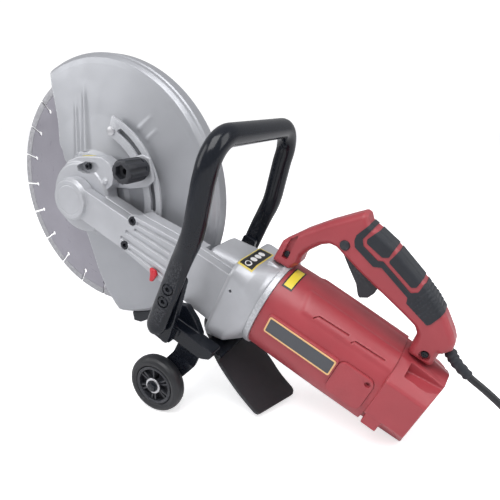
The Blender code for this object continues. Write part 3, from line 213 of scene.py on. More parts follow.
def boolean(a, b, op="DIFFERENCE"):
    mod = a.modifiers.new("cut", "BOOLEAN")
    mod.operation = op
    mod.solver = "EXACT"
    mod.object = b
    bake(a)
    bpy.data.objects.remove(b, do_unlink=True)
    return a


def cut(a, *bs):
    for b in bs:
        boolean(a, b)
    return a


def join(a, *bs):
    for b in bs:
        boolean(a, b, "UNION")
    return a


def heap(a, *bs):
    """Puts bodies into one mesh as they are, for a later voxel union."""
    bm = bmesh.new()
    bm.from_mesh(a.data)
    for b in bs:
        bm.from_mesh(b.data)
        bpy.data.objects.remove(b, do_unlink=True)
    bm.to_mesh(a.data)
    bm.free()
    return a


def soft(ob, voxel=0.8, smooth=6, factor=0.5):
    """Runs the edges and inside corners of a casting or moulding together, as its draft and fillets do."""
    r = ob.modifiers.new("r", "REMESH")
    r.mode = "VOXEL"
    r.voxel_size = voxel * MM
    s = ob.modifiers.new("s", "SMOOTH")
    s.factor = factor
    s.iterations = smooth
    return bake(ob)


def prism(name, pts, lo, hi, axis="Y"):
    n = len(pts)
    put = {"Y": lambda p, t: (p[0], t, p[1]), "X": lambda p, t: (t, p[0], p[1]), "Z": lambda p, t: (p[0], p[1], t)}[axis]
    v = [put(p, lo) for p in pts] + [put(p, hi) for p in pts]
    f = [tuple(range(n)), tuple(range(n, 2 * n))]
    f += [(i, (i + 1) % n, n + (i + 1) % n, n + i) for i in range(n)]
    return new(name, v, f)


def box(name, x0, x1, y0, y1, z0, z1):
    return prism(name, [(x0, z0), (x1, z0), (x1, z1), (x0, z1)], min(y0, y1), max(y0, y1))


def lathe(name, prof, axis="Y", c=(0.0, 0.0), n=64, a0=0.0, a1=360.0, phase=0.0):
    full = abs(a1 - a0) >= 359.999
    k = n if full else n + 1
    v, f = [], []
    for i in range(k):
        a = radians(a0 + (a1 - a0) * i / n + phase)
        ca, sa = cos(a), sin(a)
        for r, s in prof:
            if axis == "Y":
                v.append((c[0] + r * ca, s, c[1] + r * sa))
            elif axis == "X":
                v.append((s, c[0] + r * ca, c[1] + r * sa))
            else:
                v.append((c[0] + r * ca, c[1] + r * sa, s))
    p = len(prof)
    for i in range(n):
        j = (i + 1) % k
        for q in range(p):
            w = (q + 1) % p
            f.append((i * p + q, j * p + q, j * p + w, i * p + w))
    if not full:
        f.append(tuple(range(p)))
        f.append(tuple(n * p + q for q in range(p)))
    return new(name, v, f)


def disc(name, r, s0, s1, axis="Y", c=(0.0, 0.0), n=48, bore=0.0, phase=0.0):
    return lathe(name, [(bore, min(s0, s1)), (r, min(s0, s1)), (r, max(s0, s1)), (bore, max(s0, s1))], axis, c, n, phase=phase)


def loft(name, rings, capped=True):
    n = len(rings[0])
    v = [p for r in rings for p in r]
    f = []
    for i in range(len(rings) - 1):
        for j in range(n):
            k = (j + 1) % n
            f.append((i * n + j, i * n + k, (i + 1) * n + k, (i + 1) * n + j))
    f.append(tuple(range(n)))
    f.append(tuple((len(rings) - 1) * n + j for j in range(n)))
    return new(name, v, f)


def smooth_path(P, sub=6):
    """Catmull-Rom through points of any dimension."""
    P = [Vector(p) for p in P]
    out = []
    for i in range(len(P) - 1):
        p0, p1, p2, p3 = P[max(i - 1, 0)], P[i], P[i + 1], P[min(i + 2, len(P) - 1)]
        for k in range(sub):
            t = k / sub
            out.append(0.5 * ((2 * p1) + (p2 - p0) * t + (2 * p0 - 5 * p1 + 4 * p2 - p3) * t * t + (3 * p1 - p0 - 3 * p2 + p3) * t ** 3))
    out.append(P[-1])
    return out


def sweep(name, path, rad, n=28, up=(0, 1, 0)):
    P = [Vector(p) for p in path]
    rings = []
    u0 = Vector(up)
    for i, p in enumerate(P):
        t = (P[min(i + 1, len(P) - 1)] - P[max(i - 1, 0)]).normalized()
        s = t.cross(u0)
        s = s.normalized() if s.length > 1e-6 else Vector((1, 0, 0))
        w = s.cross(t).normalized()
        u0 = w
        ru, rv = rad(i)
        rings.append([tuple(p + s * (ru * cos(2 * pi * j / n)) + w * (rv * sin(2 * pi * j / n))) for j in range(n)])
    return loft(name, rings)


def arc_pts(cx, cz, r, a0, a1, n):
    return [(cx + r * cos(radians(a0 + (a1 - a0) * i / n)), cz + r * sin(radians(a0 + (a1 - a0) * i / n))) for i in range(n + 1)]


def round_poly(pts, r, seg=4):
    out = []
    n = len(pts)
    for i in range(n):
        a, b, c = Vector(pts[i - 1]), Vector(pts[i]), Vector(pts[(i + 1) % n])
        rr = r[i] if isinstance(r, (list, tuple)) else r
        d0, d1 = (a - b), (c - b)
        l0, l1 = d0.length, d1.length
        if rr <= 0 or l0 < 1e-6 or l1 < 1e-6:
            out.append(tuple(b))
            continue
        d0.normalize()
        d1.normalize()
        ang = d0.angle(d1)
        if abs(pi - ang) < 0.05:
            out.append(tuple(b))
            continue
        t = min(rr / tan(ang / 2), 0.48 * l0, 0.48 * l1)
        p0, p1 = b + d0 * t, b + d1 * t
        for k in range(seg + 1):
            s = k / seg
            q = p0 * (1 - s) ** 2 + b * 2 * s * (1 - s) + p1 * s * s
            out.append((q.x, q.y))
    return out


def resample(pts, step, closed=True):
    out = []
    n = len(pts)
    for i in range(n if closed else n - 1):
        a, b = Vector(pts[i]), Vector(pts[(i + 1) % n])
        k = max(1, int((b - a).length / step + 0.5))
        for q in range(k):
            out.append(tuple(a + (b - a) * q / k))
    if not closed:
        out.append(tuple(pts[-1]))
    return out


def shrink(poly, d):
    n = len(poly)
    area = sum(poly[i][0] * poly[(i + 1) % n][1] - poly[(i + 1) % n][0] * poly[i][1] for i in range(n))
    s = 1 if area > 0 else -1
    res = []
    for i in range(n):
        a, b, c = Vector(poly[i - 1]), Vector(poly[i]), Vector(poly[(i + 1) % n])
        e0, e1 = (b - a).normalized(), (c - b).normalized()
        n0, n1 = Vector((-e0.y, e0.x)) * s, Vector((-e1.y, e1.x)) * s
        m = n0 + n1
        m = m.normalized() if m.length > 1e-6 else n0
        k = d / max(m.dot(n0), 0.45)
        res.append((b.x + m.x * k, b.y + m.y * k))
    return res


def rrect(cy, cz, hy, hz, r, n=12):
    pts = []
    for qx, qz, a0 in ((1, 1, 0), (-1, 1, 90), (-1, -1, 180), (1, -1, 270)):
        for i in range(n):
            a = radians(a0 + 90 * i / (n - 1))
            pts.append((cy + qx * (hy - r) + r * cos(a), cz + qz * (hz - r) + r * sin(a)))
    return pts


def hexagon(c, r, phase=0.0):
    return [(c[0] + r * cos(radians(60 * i + phase)), c[1] + r * sin(radians(60 * i + phase))) for i in range(6)]


def settle(ob):
    """Takes the saw's pitch into the mesh itself, so the piece's own box stands square to the floor."""
    ob.data.transform(FR.to_3x3().to_4x4())
    ob.matrix_world = Matrix.Translation(FR.translation)


def show(ob, m, body, nodes=(), bevel=0.0, seg=2, angle=32.0, weld=False):
    """Finishes one visible piece."""
    ob.data.materials.clear()
    ob.data.materials.append(M[m])
    ob.data.shade_smooth()
    if bevel:
        bv = ob.modifiers.new("edge", "BEVEL")
        bv.width = bevel * MM
        bv.segments = seg
        bv.limit_method = "ANGLE"
        bv.angle_limit = radians(35)
        bv.harden_normals = False
        bv.use_clamp_overlap = True
        bake(ob)
        ob.data.shade_smooth()
    ob.data.set_sharp_from_angle(angle=radians(angle))
    settle(ob)
    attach(ob, body)
    if nodes:
        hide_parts(*nodes)
    return ob


# ================================================================ blade
SEGMENTS = 23
FIRST = 21.0
PITCH_A = 360.0 / SEGMENTS


def blade_outline(r_out, hw=1.3, kr=154.0, key=3.3):
    pts = []
    for s in range(SEGMENTS):
        a = FIRST + PITCH_A * s
        ka = radians(a)
        ur, ut = (cos(ka), sin(ka)), (-sin(ka), cos(ka))
        da = degrees(hw / r_out)
        pts.append((r_out * cos(radians(a - da)), r_out * sin(radians(a - da))))
        b0 = degrees(atan2(hw, sqrt(key ** 2 - hw ** 2)))
        for i in range(14):
            b = radians(-b0 - (360 - 2 * b0) * i / 13)
            cr, ct = kr + key * cos(b), key * sin(b)
            pts.append((ur[0] * cr + ut[0] * ct, ur[1] * cr + ut[1] * ct))
        pts.append((r_out * cos(radians(a + da)), r_out * sin(radians(a + da))))
        for i in range(1, 9):
            b = radians(a + da + (PITCH_A - 2 * da) * i / 9)
            pts.append((r_out * cos(b), r_out * sin(b)))
    return pts


core = prism("saw_blade_core", blade_outline(165.4), -2.8, -0.4)
cut(core, disc("b", 12.7, -10, 10, n=64))
for k in range(8):
    a = radians(45 * k + 12)
    cut(core, disc("h", 3.0, -10, 10, c=(62 * cos(a), 62 * sin(a)), n=24)) if k % 4 == 0 else None
show(core, "core", "blade_spindle", ["blade"], bevel=0.15, seg=1)
v, f = [], []
for s in range(SEGMENTS):
    a = FIRST + PITCH_A * s
    o0 = degrees(1.35 / 175.0)
    ring = []
    for k in range(9):
        t = radians(a + o0 + (PITCH_A - 2 * o0) * k / 8)
        ring.append((cos(t), sin(t)))
    pts = [(175.0 * c, 175.0 * q) for c, q in ring] + [(165.2 * c, 165.2 * q) for c, q in reversed(ring)]
    i0, n = len(v), len(pts)
    v += [(x, -3.2, z) for x, z in pts] + [(x, 0.0, z) for x, z in pts]
    f += [tuple(range(i0, i0 + n)), tuple(range(i0 + n, i0 + 2 * n))]
    f += [(i0 + i, i0 + (i + 1) % n, i0 + n + (i + 1) % n, i0 + n + i) for i in range(n)]
show(new("saw_blade_segments", v, f), "segment", "blade_spindle", (), bevel=0.25)

# ================================================================ guard
gp = [(38.2, 33.5), (56, 33.5), (62, 29.5), (110, 22.5), (176, 15.5), (183.5, 14), (187.5, 9), (188.5, 5), (190.5, 3), (190.5, -14), (188, -17), (150, -17),
      (150, -14.5), (187, -14.5), (187.5, 0), (185, 4), (180, 11), (110, 19.3), (62, 26), (56, 30), (38.2, 30)]
gp = resample(round_poly(gp, [0.4, 2.5, 3, 20, 6, 3.5, 2.5, 1.5, 1.5, 2.5, 1.5, 0.8, 0.8, 1, 3, 2, 2, 20, 4, 3, 0.4], 5), 2.2)
g = lathe("guard_shell", gp, n=340, a0=14.0, a1=300.0)


def seg_dist(p, a, b):
    ab = (b[0] - a[0], b[1] - a[1])
    t = ((p[0] - a[0]) * ab[0] + (p[1] - a[1]) * ab[1]) / (ab[0] ** 2 + ab[1] ** 2)
    t = min(1.0, max(0.0, t))
    return hypot(p[0] - a[0] - ab[0] * t, p[1] - a[1] - ab[1] * t), t


RIBS = [((31, 43), (78, 132), 2.9, 8.6, 3.2), ((45, 34), (84, 106), 2.4, 6.0, 2.6), ((-33, 117), (-45, 142), 1.3, 3.2, 2.6), ((-50, 110), (-59, 130), 1.3, 3.2, 2.6)]
for w in g.data.vertices:
    x, y, z = w.co.x / MM, w.co.y / MM, w.co.z / MM
    r = hypot(x, z)
    skin = 29.5 - (r - 62) * 7 / 48 if r < 110 else 22.5 - (r - 110) * 7 / 66
    if 60 < r < 178 and y > skin - 1.2:
        add = 0.0
        for a_, b_, hgt, w0, w1 in RIBS:
            d, t = seg_dist((x, z), a_, b_)
            wid = w0 + (w1 - w0) * t
            add = max(add, hgt * 2.718282 ** (-1.3 * (d / wid) ** 2) * (1.0 - 0.6 * t) * min(1.0, (1.0 - t) * 5 + 0.02))
        w.co.y += add * MM
g.data.update()
# the open front of the near plate and the rim's two ends
FRONT = [(56, 0), (64, 12), (71, 19), (78, 27), (88, 33), (104, 62), (133, 100), (144, 117)]
LOWER = [(-100, -170), (-59, -142), (-34, -114), (-8, -74), (1, -62), (20, -69), (31, -62), (44, -48), (53, -20)]
trim = round_poly(FRONT + [(175, 150), (260, 150), (260, -260), (-104, -260)] + LOWER, [6, 3, 3, 3, 8, 20, 8, 3, 0, 0, 0, 0, 3, 8, 10, 10, 5, 10, 6, 6, 10], 6)
cut(g, prism("trim", trim, 8.0, 60.0))
cut(g, prism("trim2", round_poly([(60, 30), (133, 95), (143, 109), (150, 117.5), (200, 158), (260, 170), (260, -260), (-104, -260), (-100, -170), (-88, -140), (0, -60)], [0, 4, 4, 4, 0, 0, 0, 0, 4, 4, 0], 5), -40.0, 8.0))
cut(g, disc("gb", 38.2, 15, 40, n=96))
hub = disc("hubring", 52.0, 30.0, 33.5, n=128, bore=38.2)
join(g, hub)
for a0 in (93.0, 168.0):
    a = radians(a0)
    join(g, disc("post", 5.0, 19.0, 31.0 - GAP, c=(ARC_R * cos(a), ARC_R * sin(a)), n=32))
show(g, "alu_smooth", "guard", ["blade_guard"], bevel=0.35, angle=40)

arc = prism("guard_arc_plate", round_poly(arc_pts(0, 0, 118, 88, 171, 60) + arc_pts(0, 0, 91, 171, 88, 50), 0), 31.0, 35.0)
slot_pts = arc_pts(0, 0, ARC_R + 4.0, 98, 161, 50)
e1 = [(ARC_R * cos(radians(161)) + 4 * cos(radians(161 + q)), ARC_R * sin(radians(161)) + 4 * sin(radians(161 + q))) for q in range(20, 180, 20)]
e2 = [(ARC_R * cos(radians(98)) + 4 * cos(radians(278 + q - 0)), ARC_R * sin(radians(98)) + 4 * sin(radians(278 + q - 0))) for q in range(-80, 90, 20)]
slot_pts = slot_pts + e1 + arc_pts(0, 0, ARC_R - 4.0, 161, 98, 50) + list(e2)
cut(arc, prism("slot", slot_pts, 28, 38))
boss = disc("boss", 6.0, 30.5, 37.2, c=(99 * cos(radians(91)), 99 * sin(radians(91))), n=40)
show(arc, "alu", "guard", ["guard_arc_bracket"], bevel=0.5)
show(boss, "zinc", "guard", (), bevel=0.6)

pad_in = 191.2
pp = [(r * cos(radians(a)), r * sin(radians(a))) for r, a in
      [(pad_in, 224 + q) for q in (0, 3, 6, 9, 12.5)] + [(pad_in + 14, 236.5), (pad_in + 17, 233), (pad_in + 13, 228), (pad_in + 5, 224)]]
show(soft(prism("guard_tail_rubber", pp, -15.0, 4.0), 0.7, 5), "rubber", "guard", ["guard_deflector"])

# ================================================================ arm
def arm_profile(r_head, off=0.0):
    top = [(-20, 24 - off), (-93 - off * 0.4, 24.5 - off), (-103 - off * 0.4, 34 - off), (-171, 40.5 - off), (-200, 41.5 - off), (-249.5 + off, 41.5 - off)]
    bot = [(-249.5 + off, -31 + off), (-200, -28 + off), (-160, -25 + off), (-99, -18.5 + off), (-20, -18 + off)]
    zt, zb = 24.0 - off, -18.0 + off
    a1 = degrees(atan2(zt, -sqrt(r_head ** 2 - zt ** 2)))
    a0 = degrees(atan2(zb, -sqrt(r_head ** 2 - zb ** 2)))
    return arc_pts(0, 0, r_head, a0, a1, 48) + top[1:] + bot[:-1]


arm_out, arm_in = arm_profile(29.5), arm_profile(26.0, 2.5)
arm = prism("arm_body", arm_out, 40.0, Y_SPLIT)
heap(arm,
     lathe("head", [(0, 35.0), (46.0, 35.0), (49.0, 38.0), (49.0, 56.5), (46.0, Y_SPLIT), (0, Y_SPLIT)], n=96),
     prism("lobe", round_poly([(46, 15), (37, 37), (22, 51), (2, 62), (-14, 69), (-29, 68), (-40, 58), (-43, 43), (-34, 27), (0, 0)], 7, 6), 36.0, 57.0),
     prism("lug", round_poly([(-20, 60), (-62, 97), (-74, 98), (-91, 73), (-84, 60), (-60, 44), (-30, 30)], 4, 6), 36.0, 41.0),
     disc("b2", 3.8, 50, 60.0, c=(-32, 42), n=40))
soft(arm, 0.9, 7)
cut(arm, disc("fp", 60.0, 20, 35.2, n=64))
join(arm, disc("spigot", 37.8, 22.0, 36.5, n=72))
cut(arm, prism("pocket", arm_in, 56.0, Y_SPLIT + 1))
for z in (26.5, -11.5):
    join(arm, disc("boss", 4.2, 54.5, Y_SPLIT - 0.2, c=(-101, z), n=32))
cut(arm, box("relief", -262, -199, 30, 52.6, -60, 60))
cut(arm, disc("bore", 19.3, 12.0, 70.0, n=64), disc("jbore", 11.0, 40.0, 70.0, c=(JACK_X, AXIS_Z)), disc("stud", 4.3, 30.0, 45.0, c=(CLAMP_X, CLAMP_Z)))
pocket2 = prism("pk", round_poly([(18, 40), (8, 51), (-8, 58), (-16, 55), (-12, 44), (2, 36), (14, 34)], 3), 50.5, 64.0)
cut(arm, pocket2)
for z in (26.5, -11.5):
    cut(arm, disc("hole", 2.8, 50.0, 62.0, c=(-101, z), n=24))
show(arm, "alu", "frame", ["arm_casting"], angle=40)

cover = prism("belt_cover_shell", arm_out, Y_SPLIT + GAP, COVER_Y)
heap(cover, lathe("cap", [(0, Y_SPLIT + GAP), (29.5, Y_SPLIT + GAP), (29.5, 73.5), (26.0, 80.0), (0, 80.0)], n=96))
# shallow channels between the raised bars along the cover
for pts in ([(-108, 29.5), (-170, 35.5), (-170, 31.0), (-108, 25.0)],
            [(-108, 20.0), (-168, 22.0), (-168, 17.5), (-108, 15.5)],
            [(-96, 10.0), (-168, 11.5), (-168, 6.5), (-96, 5.5)],
            [(-92, -1.5), (-170, -1.5), (-170, -6.5), (-92, -6.5)],
            [(-108, -14.5), (-170, -17.5), (-170, -13.5), (-108, -11.0)]):
    cut(cover, prism("ch", round_poly(pts, 1.8, 4), COVER_Y - 2.6, COVER_Y + 8))
cut(cover, lathe("capring", [(19.5, 79.2), (21.0, 79.2), (21.0, 84), (19.5, 84)], n=96))
soft(cover, 0.7, 5)
cut(cover, box("flat", -300, 60, 40, Y_SPLIT + GAP, -80, 80))
cut(cover, prism("pocket", arm_in, 50.0, 72.0))
for z in (26.5, -11.5):
    join(cover, disc("boss", 7.6, 68.5, 73.8, c=(-101, z), n=40))
    cut(cover, disc("hole", 2.8, 55.0, 80.0, c=(-101, z), n=32))
    cut(cover, disc("sink", 6.2, 71.0, 90.0, c=(-101, z), n=48))
show(cover, "alu", "frame", ["belt_cover"], angle=40)


def socket_screw(name, c, s, y0, y1, head_r, m, body, nodes, up=1.0, hexr=2.4, depth=2.2, shaft=(2.5, 20)):
    """A cap screw along Y whose head runs from y0 to y1 (y1 the outer end)."""
    d = 1 if y1 > y0 else -1
    prof = [(0, y0 - d * shaft[1]), (shaft[0], y0 - d * shaft[1]), (shaft[0], y0), (head_r, y0), (head_r, y1 - d * 0.6), (head_r - 0.6, y1), (0, y1)]
    o = lathe(name, prof, c=c, n=40)
    hx = prism("hx", hexagon(c, hexr), min(y1 - d * depth, y1 + d * 2), max(y1 - d * depth, y1 + d * 2))
    cut(o, hx)
    return show(o, m, body, nodes, bevel=0.15, seg=1)


socket_screw("cover_cap_screw_upper", (-101, 26.5), 1, 71.3, 75.6, 5.6, "paint", "frame", ["cover_screw_upper"], hexr=3.1, depth=2.8)
socket_screw("cover_cap_screw_lower", (-101, -11.5), 1, 71.3, 75.6, 5.6, "paint", "frame", ["cover_screw_lower"], hexr=3.1, depth=2.8)
socket_screw("head_socket_screw", (5, 44.5), 1, 50.6, 55.2, 4.4, "paint", "frame", [], hexr=2.3, depth=2.4, shaft=(2.5, 4))

lv = prism("lock_lever_blade", round_poly([(-149, -13.5), (-158.5, -13.5), (-162.5, -18), (-160, -29.5), (-155.5, -31.5), (-153, -21)], 2.0, 5), COVER_Y + GAP, 80.3)
show(lv, "lever", "lever", ["arm_lock_lever"], bevel=0.8, seg=3)

# ================================================================ knob
kn = lathe("guard_knob", [(4.1, 42.0), (12.6, 42.0), (13.2, 42.6), (13.3, 47.0), (14.0, 48.4), (15.6, 49.4), (15.8, 79.0), (14.8, 81.4), (12.6, 82.4), (4.1, 82.4)], c=(CLAMP_X, CLAMP_Z), n=120)
for k in range(8):
    a = radians(45 * k + 14)
    cut(kn, disc("fl", 4.0, 50.5, 90.0, c=(CLAMP_X + 17.7 * cos(a), CLAMP_Z + 17.7 * sin(a)), n=32))
cut(kn, prism("hx", hexagon((CLAMP_X, CLAMP_Z), 9.6, 15), 74.5, 90.0))
show(kn, "black", "knob", ["clamp_knob"], bevel=0.6, seg=2)

# ================================================================ gear housing
def gear_ring(x, cy, cz, hy, hz, r):
    return [(x, y, z) for y, z in rrect(cy, cz, hy, hz, r, 14)]


gh = loft("gear_case", [
    gear_ring(-250.5, 30, 6, 53, 56, 20), gear_ring(-255, 30, 6, 55, 58, 22), gear_ring(-276, 30, 8, 56, 58, 30),
    gear_ring(-290, 30, 14, 56.5, 57, 48), gear_ring(-297, 30, 18, 57, 57, 56.9)])
nose = loft("nose", [gear_ring(-203, 18, 4, 32, 36, 14), gear_ring(-207, 17, 4, 35, 40, 15), gear_ring(-253, 17, 5, 35, 46, 15)])
padtop = prism("padtop", [(-278, 58), (-278, 71.5), (-300, 71.5), (-300, 50), (-285, 50)], 12, 48)
heap(gh, nose, padtop)
soft(gh, 0.9, 10)
join(gh, lathe("fl", [(52, -296.5), (58.2, -296.5), (59.0, -297.3), (59.0, -303.6), (58.6, X_FLANGE), (52, X_FLANGE)], axis="X", c=(AXIS_Y, AXIS_Z), n=128))
cav = loft("cav", [
    gear_ring(-253.5, 30, 6, 44, 49, 14), gear_ring(-276, 30, 8, 50, 52, 25), gear_ring(-292, 30, 16, 51, 51, 46), gear_ring(-306, 30, 18, 51, 51, 50.9)])
cut(gh, cav)
c2 = (JACK_X, AXIS_Z)
cut(gh, disc("ringbay", 25.5, 7.0, 39.5, c=c2), disc("jb", 15.3, 30.0, 51.0, c=c2), disc("js", 9.0, 45.0, 60.0, c=c2), disc("jf", 6.1, -12.0, 20.0, c=c2))
cut(gh, box("armnotch", -260, -240, 52.4, 60.3, -31.5, 42))
for x, z in ((-262, 30), (-262, -42)):
    cut(gh, disc("pin", 1.9, 80, 92, c=(x, z), n=24))
show(gh, "alu", "frame", ["gear_housing"], angle=40)

# ================================================================ motor
def section(hy, top, bot, n=36, p=2.5):
    pts = []
    for i in range(n):
        a = 2 * pi * i / n
        c, s = cos(a), sin(a)
        hz = top if s >= 0 else bot
        k = (abs(c) ** p + abs(s) ** p) ** (-1 / p)
        pts.append((AXIS_Y + hy * k * c, AXIS_Z + hz * k * s))
    return pts


STA = [(X_FLANGE - GAP, 56.5, 57, 56, 2.2), (-308, 56.5, 57, 56, 2.2), (-322, 56, 57, 56, 2.25), (-345, 55.5, 56.5, 55.5, 2.35), (-400, 55.2, 54, 55, 2.45), (X_SEAM, 55, 51, 54, 2.5)]


def motor_at(x, grow=0.0, n=36):
    for i in range(len(STA) - 1):
        x0, x1 = STA[i][0], STA[i + 1][0]
        if x <= x0 + 1e-6 and x >= x1 - 1e-6:
            t = (x0 - x) / (x0 - x1)
            hy, tp, bt, p = (STA[i][k] + (STA[i + 1][k] - STA[i][k]) * t for k in (1, 2, 3, 4))
            return section(hy + grow, tp + grow, bt + grow, n, p)
    return section(*[q + grow for q in STA[-1][1:4]], n, STA[-1][4])


xs = [X_FLANGE - GAP - (154.0 - GAP) * i / 90 for i in range(91)]
NM = 220
rings = []
for x in xs:
    sec = motor_at(x, 0.0, NM)
    out = []
    for j, (y, z) in enumerate(sec):
        dy, dz = y - AXIS_Y, z - AXIS_Z
        r = hypot(dy, dz)
        ang = degrees(atan2(dz, abs(dy)))
        # raised shoulder panel that starts part way back, on both sides
        fx = min(1.0, max(0.0, (-340.0 - x + (ang - 48) * 0.25) / 6.0))
        fa = min(1.0, max(0.0, (ang - 36) / 5.0)) * min(1.0, max(0.0, (71 - ang) / 5.0))
        q = fx * fx * (3 - 2 * fx) * fa * fa * (3 - 2 * fa)
        k = 1 - 1.5 * (1 - q) / r if -340 > x else 1 - 1.5 / r * (1 - q)
        out.append((x, AXIS_Y + dy * k, AXIS_Z + dz * k))
    rings.append(out)
GROOVES = ((-358.8, 55.2, -363.1, 59.8), (-363.1, 59.8, -401.7, 60.2), (-407.1, 55.5, -409.8, 58.7), (-409.8, 58.7, -447.0, 58.7))
mh = loft("motor_body", rings)
cut(mh, loft("in", [[(x, y, z) for y, z in section(52 - 1.2, 52 - 1.2, 51.5 - 1.2, 96, 2.1)] if k == 0 else ([(x, y, z) for y, z in section(50.6, 49.5, 50, 96, 2.2)] if k == 1 else [(x, y, z) for y, z in section(50.4, 46.8, 49.5, 96, 2.3)])
                    for k, x in enumerate((X_FLANGE + 2, -400, X_SEAM - 2))]))
for s in (1, -1):
    q = prism("bh", round_poly([(-408, 38), (-408, -6), (-452, -6), (-452, 38)], 9, 6), min(AXIS_Y + s * 40, AXIS_Y + s * 70), max(AXIS_Y + s * 40, AXIS_Y + s * 70))
    cut(mh, q)
    # the shoulder panel's grooves, run along its upper edge
    for x0, z0, x1, z1 in GROOVES:
        d = Vector((x1 - x0, z1 - z0)).normalized()
        nn = Vector((-d.y, d.x)) * 0.8
        yo = AXIS_Y + s * 55.0
        pl = [(x0 + nn.x, z0 + nn.y), (x1 + nn.x, z1 + nn.y), (x1 - nn.x, z1 - nn.y), (x0 - nn.x, z0 - nn.y)]
        # each groove follows the round shoulder: a thin wedge that stops 1.2 mm under the skin
        rr = []
        for x, z in pl:
            rr.append((x, z))
        q0 = motor_at((x0 + x1) / 2, -1.4, 200)
        zc = (z0 + z1) / 2
        ys = [y for y, z in q0 if abs(z - zc) < 2.5 and (y - AXIS_Y) * s > 0]
        yi = sum(ys) / len(ys)
        cut(mh, prism("gr", rr, min(yi, yi + s * 20), max(yi, yi + s * 20)))
show(mh, "red", "frame", ["motor_housing"], bevel=0.4, angle=40)

for s, nm, node in ((1, "brush_door_left", "brush_cover_left"), (-1, "brush_door_right", "brush_cover_right")):
    y0, y1 = AXIS_Y + s * 49.6, AXIS_Y + s * 54.9
    pc = prism(nm, round_poly([(-408.4, 37.6), (-408.4, -5.6), (-451.6, -5.6), (-451.6, 37.6)], 9, 8), min(y0, y1), max(y0, y1))
    cut(pc, disc("h", 3.4, AXIS_Y + s * 52.5, AXIS_Y + s * 70, c=(-445, 30.5), n=28), disc("h2", 2.0, AXIS_Y + s * 50.5, AXIS_Y + s * 70, c=(-445, 30.5), n=28))
    show(pc, "red", "frame", [node], bevel=0.7, seg=3)

# plate with its printed border, blank
YP = AXIS_Y + 55.2
rim = prism("plate_frame", round_poly([(-316.5, 35.5), (-408.0, 35.5), (-408.0, 10.5), (-316.5, 10.5)], 4, 6), AXIS_Y + 50.0, YP + 1.3)
show(rim, "red", "frame", (), bevel=0.9, seg=3)
pl = prism("plate_face", round_poly([(-319.8, 32.2), (-404.7, 32.2), (-404.7, 13.8), (-319.8, 13.8)], 1.8, 6), YP + 1.0, YP + 1.75)
show(pl, "plate", "frame", ["nameplate"], bevel=0.15, seg=1)
bd = prism("plate_border", round_poly([(-318.4, 33.6), (-406.1, 33.6), (-406.1, 12.4), (-318.4, 12.4)], 2.8, 6), YP + 0.8, YP + 1.9)
cut(bd, prism("x", round_poly([(-320.2, 31.8), (-404.3, 31.8), (-404.3, 14.2), (-320.2, 14.2)], 1.6, 6), YP, YP + 4))
show(bd, "cream", "frame", (), bevel=0.12, seg=1)

# ================================================================ rear cover
def rear_sec(x, drop=0.0):
    half = [(0, 48), (22 - drop, 47.5 - drop), (52.5, 31 - drop * 0.3), (55, 28 - drop * 0.3), (55, -17), (52, -21), (16, -53.7 + drop * 0.3), (12, -53.7 + drop * 0.3)]
    pts = [(AXIS_Y + y, AXIS_Z + z) for y, z in half] + [(AXIS_Y - y, AXIS_Z + z) for y, z in reversed(half[1:])]
    return [(x, y, z) for y, z in pts]


def rear_bay(x):
    half = [(0, 29), (44, 22), (50.5, 16), (50.5, -15), (48, -19), (14, -48.5), (0, -49)]
    pts = [(AXIS_Y + y, AXIS_Z + z) for y, z in half] + [(AXIS_Y - y, AXIS_Z + z) for y, z in reversed(half[1:-1])]
    return [(x, y, z) for y, z in pts]


rc = loft("rear_housing", [rear_sec(X_SEAM - GAP), rear_sec(-461), rear_sec(X_REAR, 5.0)])
for s in (1, -1):
    y = lambda q: AXIS_Y + s * q
    a, b = min(y(19), y(39.5)), max(y(19), y(39.5))
    cut(rc, prism("scoop", [(-471.5, 51.0), (-471.5, 80), (-530, 80), (-530, 58.6)], a, b))
    cut(rc, prism("crown", [(X_REAR - 5, y(17)), (X_REAR, y(17)), (X_REAR + 8.5, y(55)), (X_REAR + 12, y(70)), (X_REAR - 5, y(70))], -60, 100, axis="Z"))
for s in (1, -1):
    foot = [(AXIS_Y + s * q, AXIS_Z + w) for q, w in ((54.5, -10), (54.6, -20), (53.4, -33.5), (51, -35), (41, -29.5), (41, -16))]
    join(rc, prism("ring_foot", foot, -479, -461, axis="X"))
soft(rc, 0.8, 6)
cut(rc, loft("in", [rear_bay(X_SEAM + 5), rear_bay(X_REAR + 12.0)]))
cut(rc, box("face", X_SEAM - GAP, -400, -60, 120, -80, 100))
# a spigot inside the seam keeps light from passing straight through it
inner = lambda x: [(x, AXIS_Y + 0.97 * (q[1] - AXIS_Y), AXIS_Z + 0.97 * (q[2] - AXIS_Z)) for q in rear_sec(x)]
spig = loft("spigot", [inner(X_SEAM + GAP - 0.03), inner(X_SEAM - 3.0)])
cut(spig, loft("in2", [rear_bay(X_SEAM + 5), rear_bay(X_SEAM - 9)]))
join(rc, spig)
show(rc, "red", "frame", ["rear_cover"], angle=40)

# ================================================================ rear handle
outer = [(-279, 72.3), (-280, 100), (-285, 107), (-298, 126), (-318, 150), (-338, 171), (-346, 179), (-351, 178.5), (-357, 172), (-368, 170), (-393, 164), (-432, 149), (-456, 138),
         (-474, 126.5), (-484, 118), (-489, 114), (-496, 106), (-498, 97), (-492, 86.5), (-489.5, 86), (-490.5, 70), (-488, 66.8)]
inner_line = [(-464, 66.8), (-462, 72), (-461, 84), (-459, 92), (-453, 98), (-441, 101.5), (-404, 110.5), (-400, 111), (-372, 118), (-338, 128.5), (-330, 127.5), (-322, 121), (-312, 106), (-309, 96), (-310, 86), (-303, 72.3)]
d_out = outer + inner_line
HALF = 16.0
btn = (-346.0, 137.5)


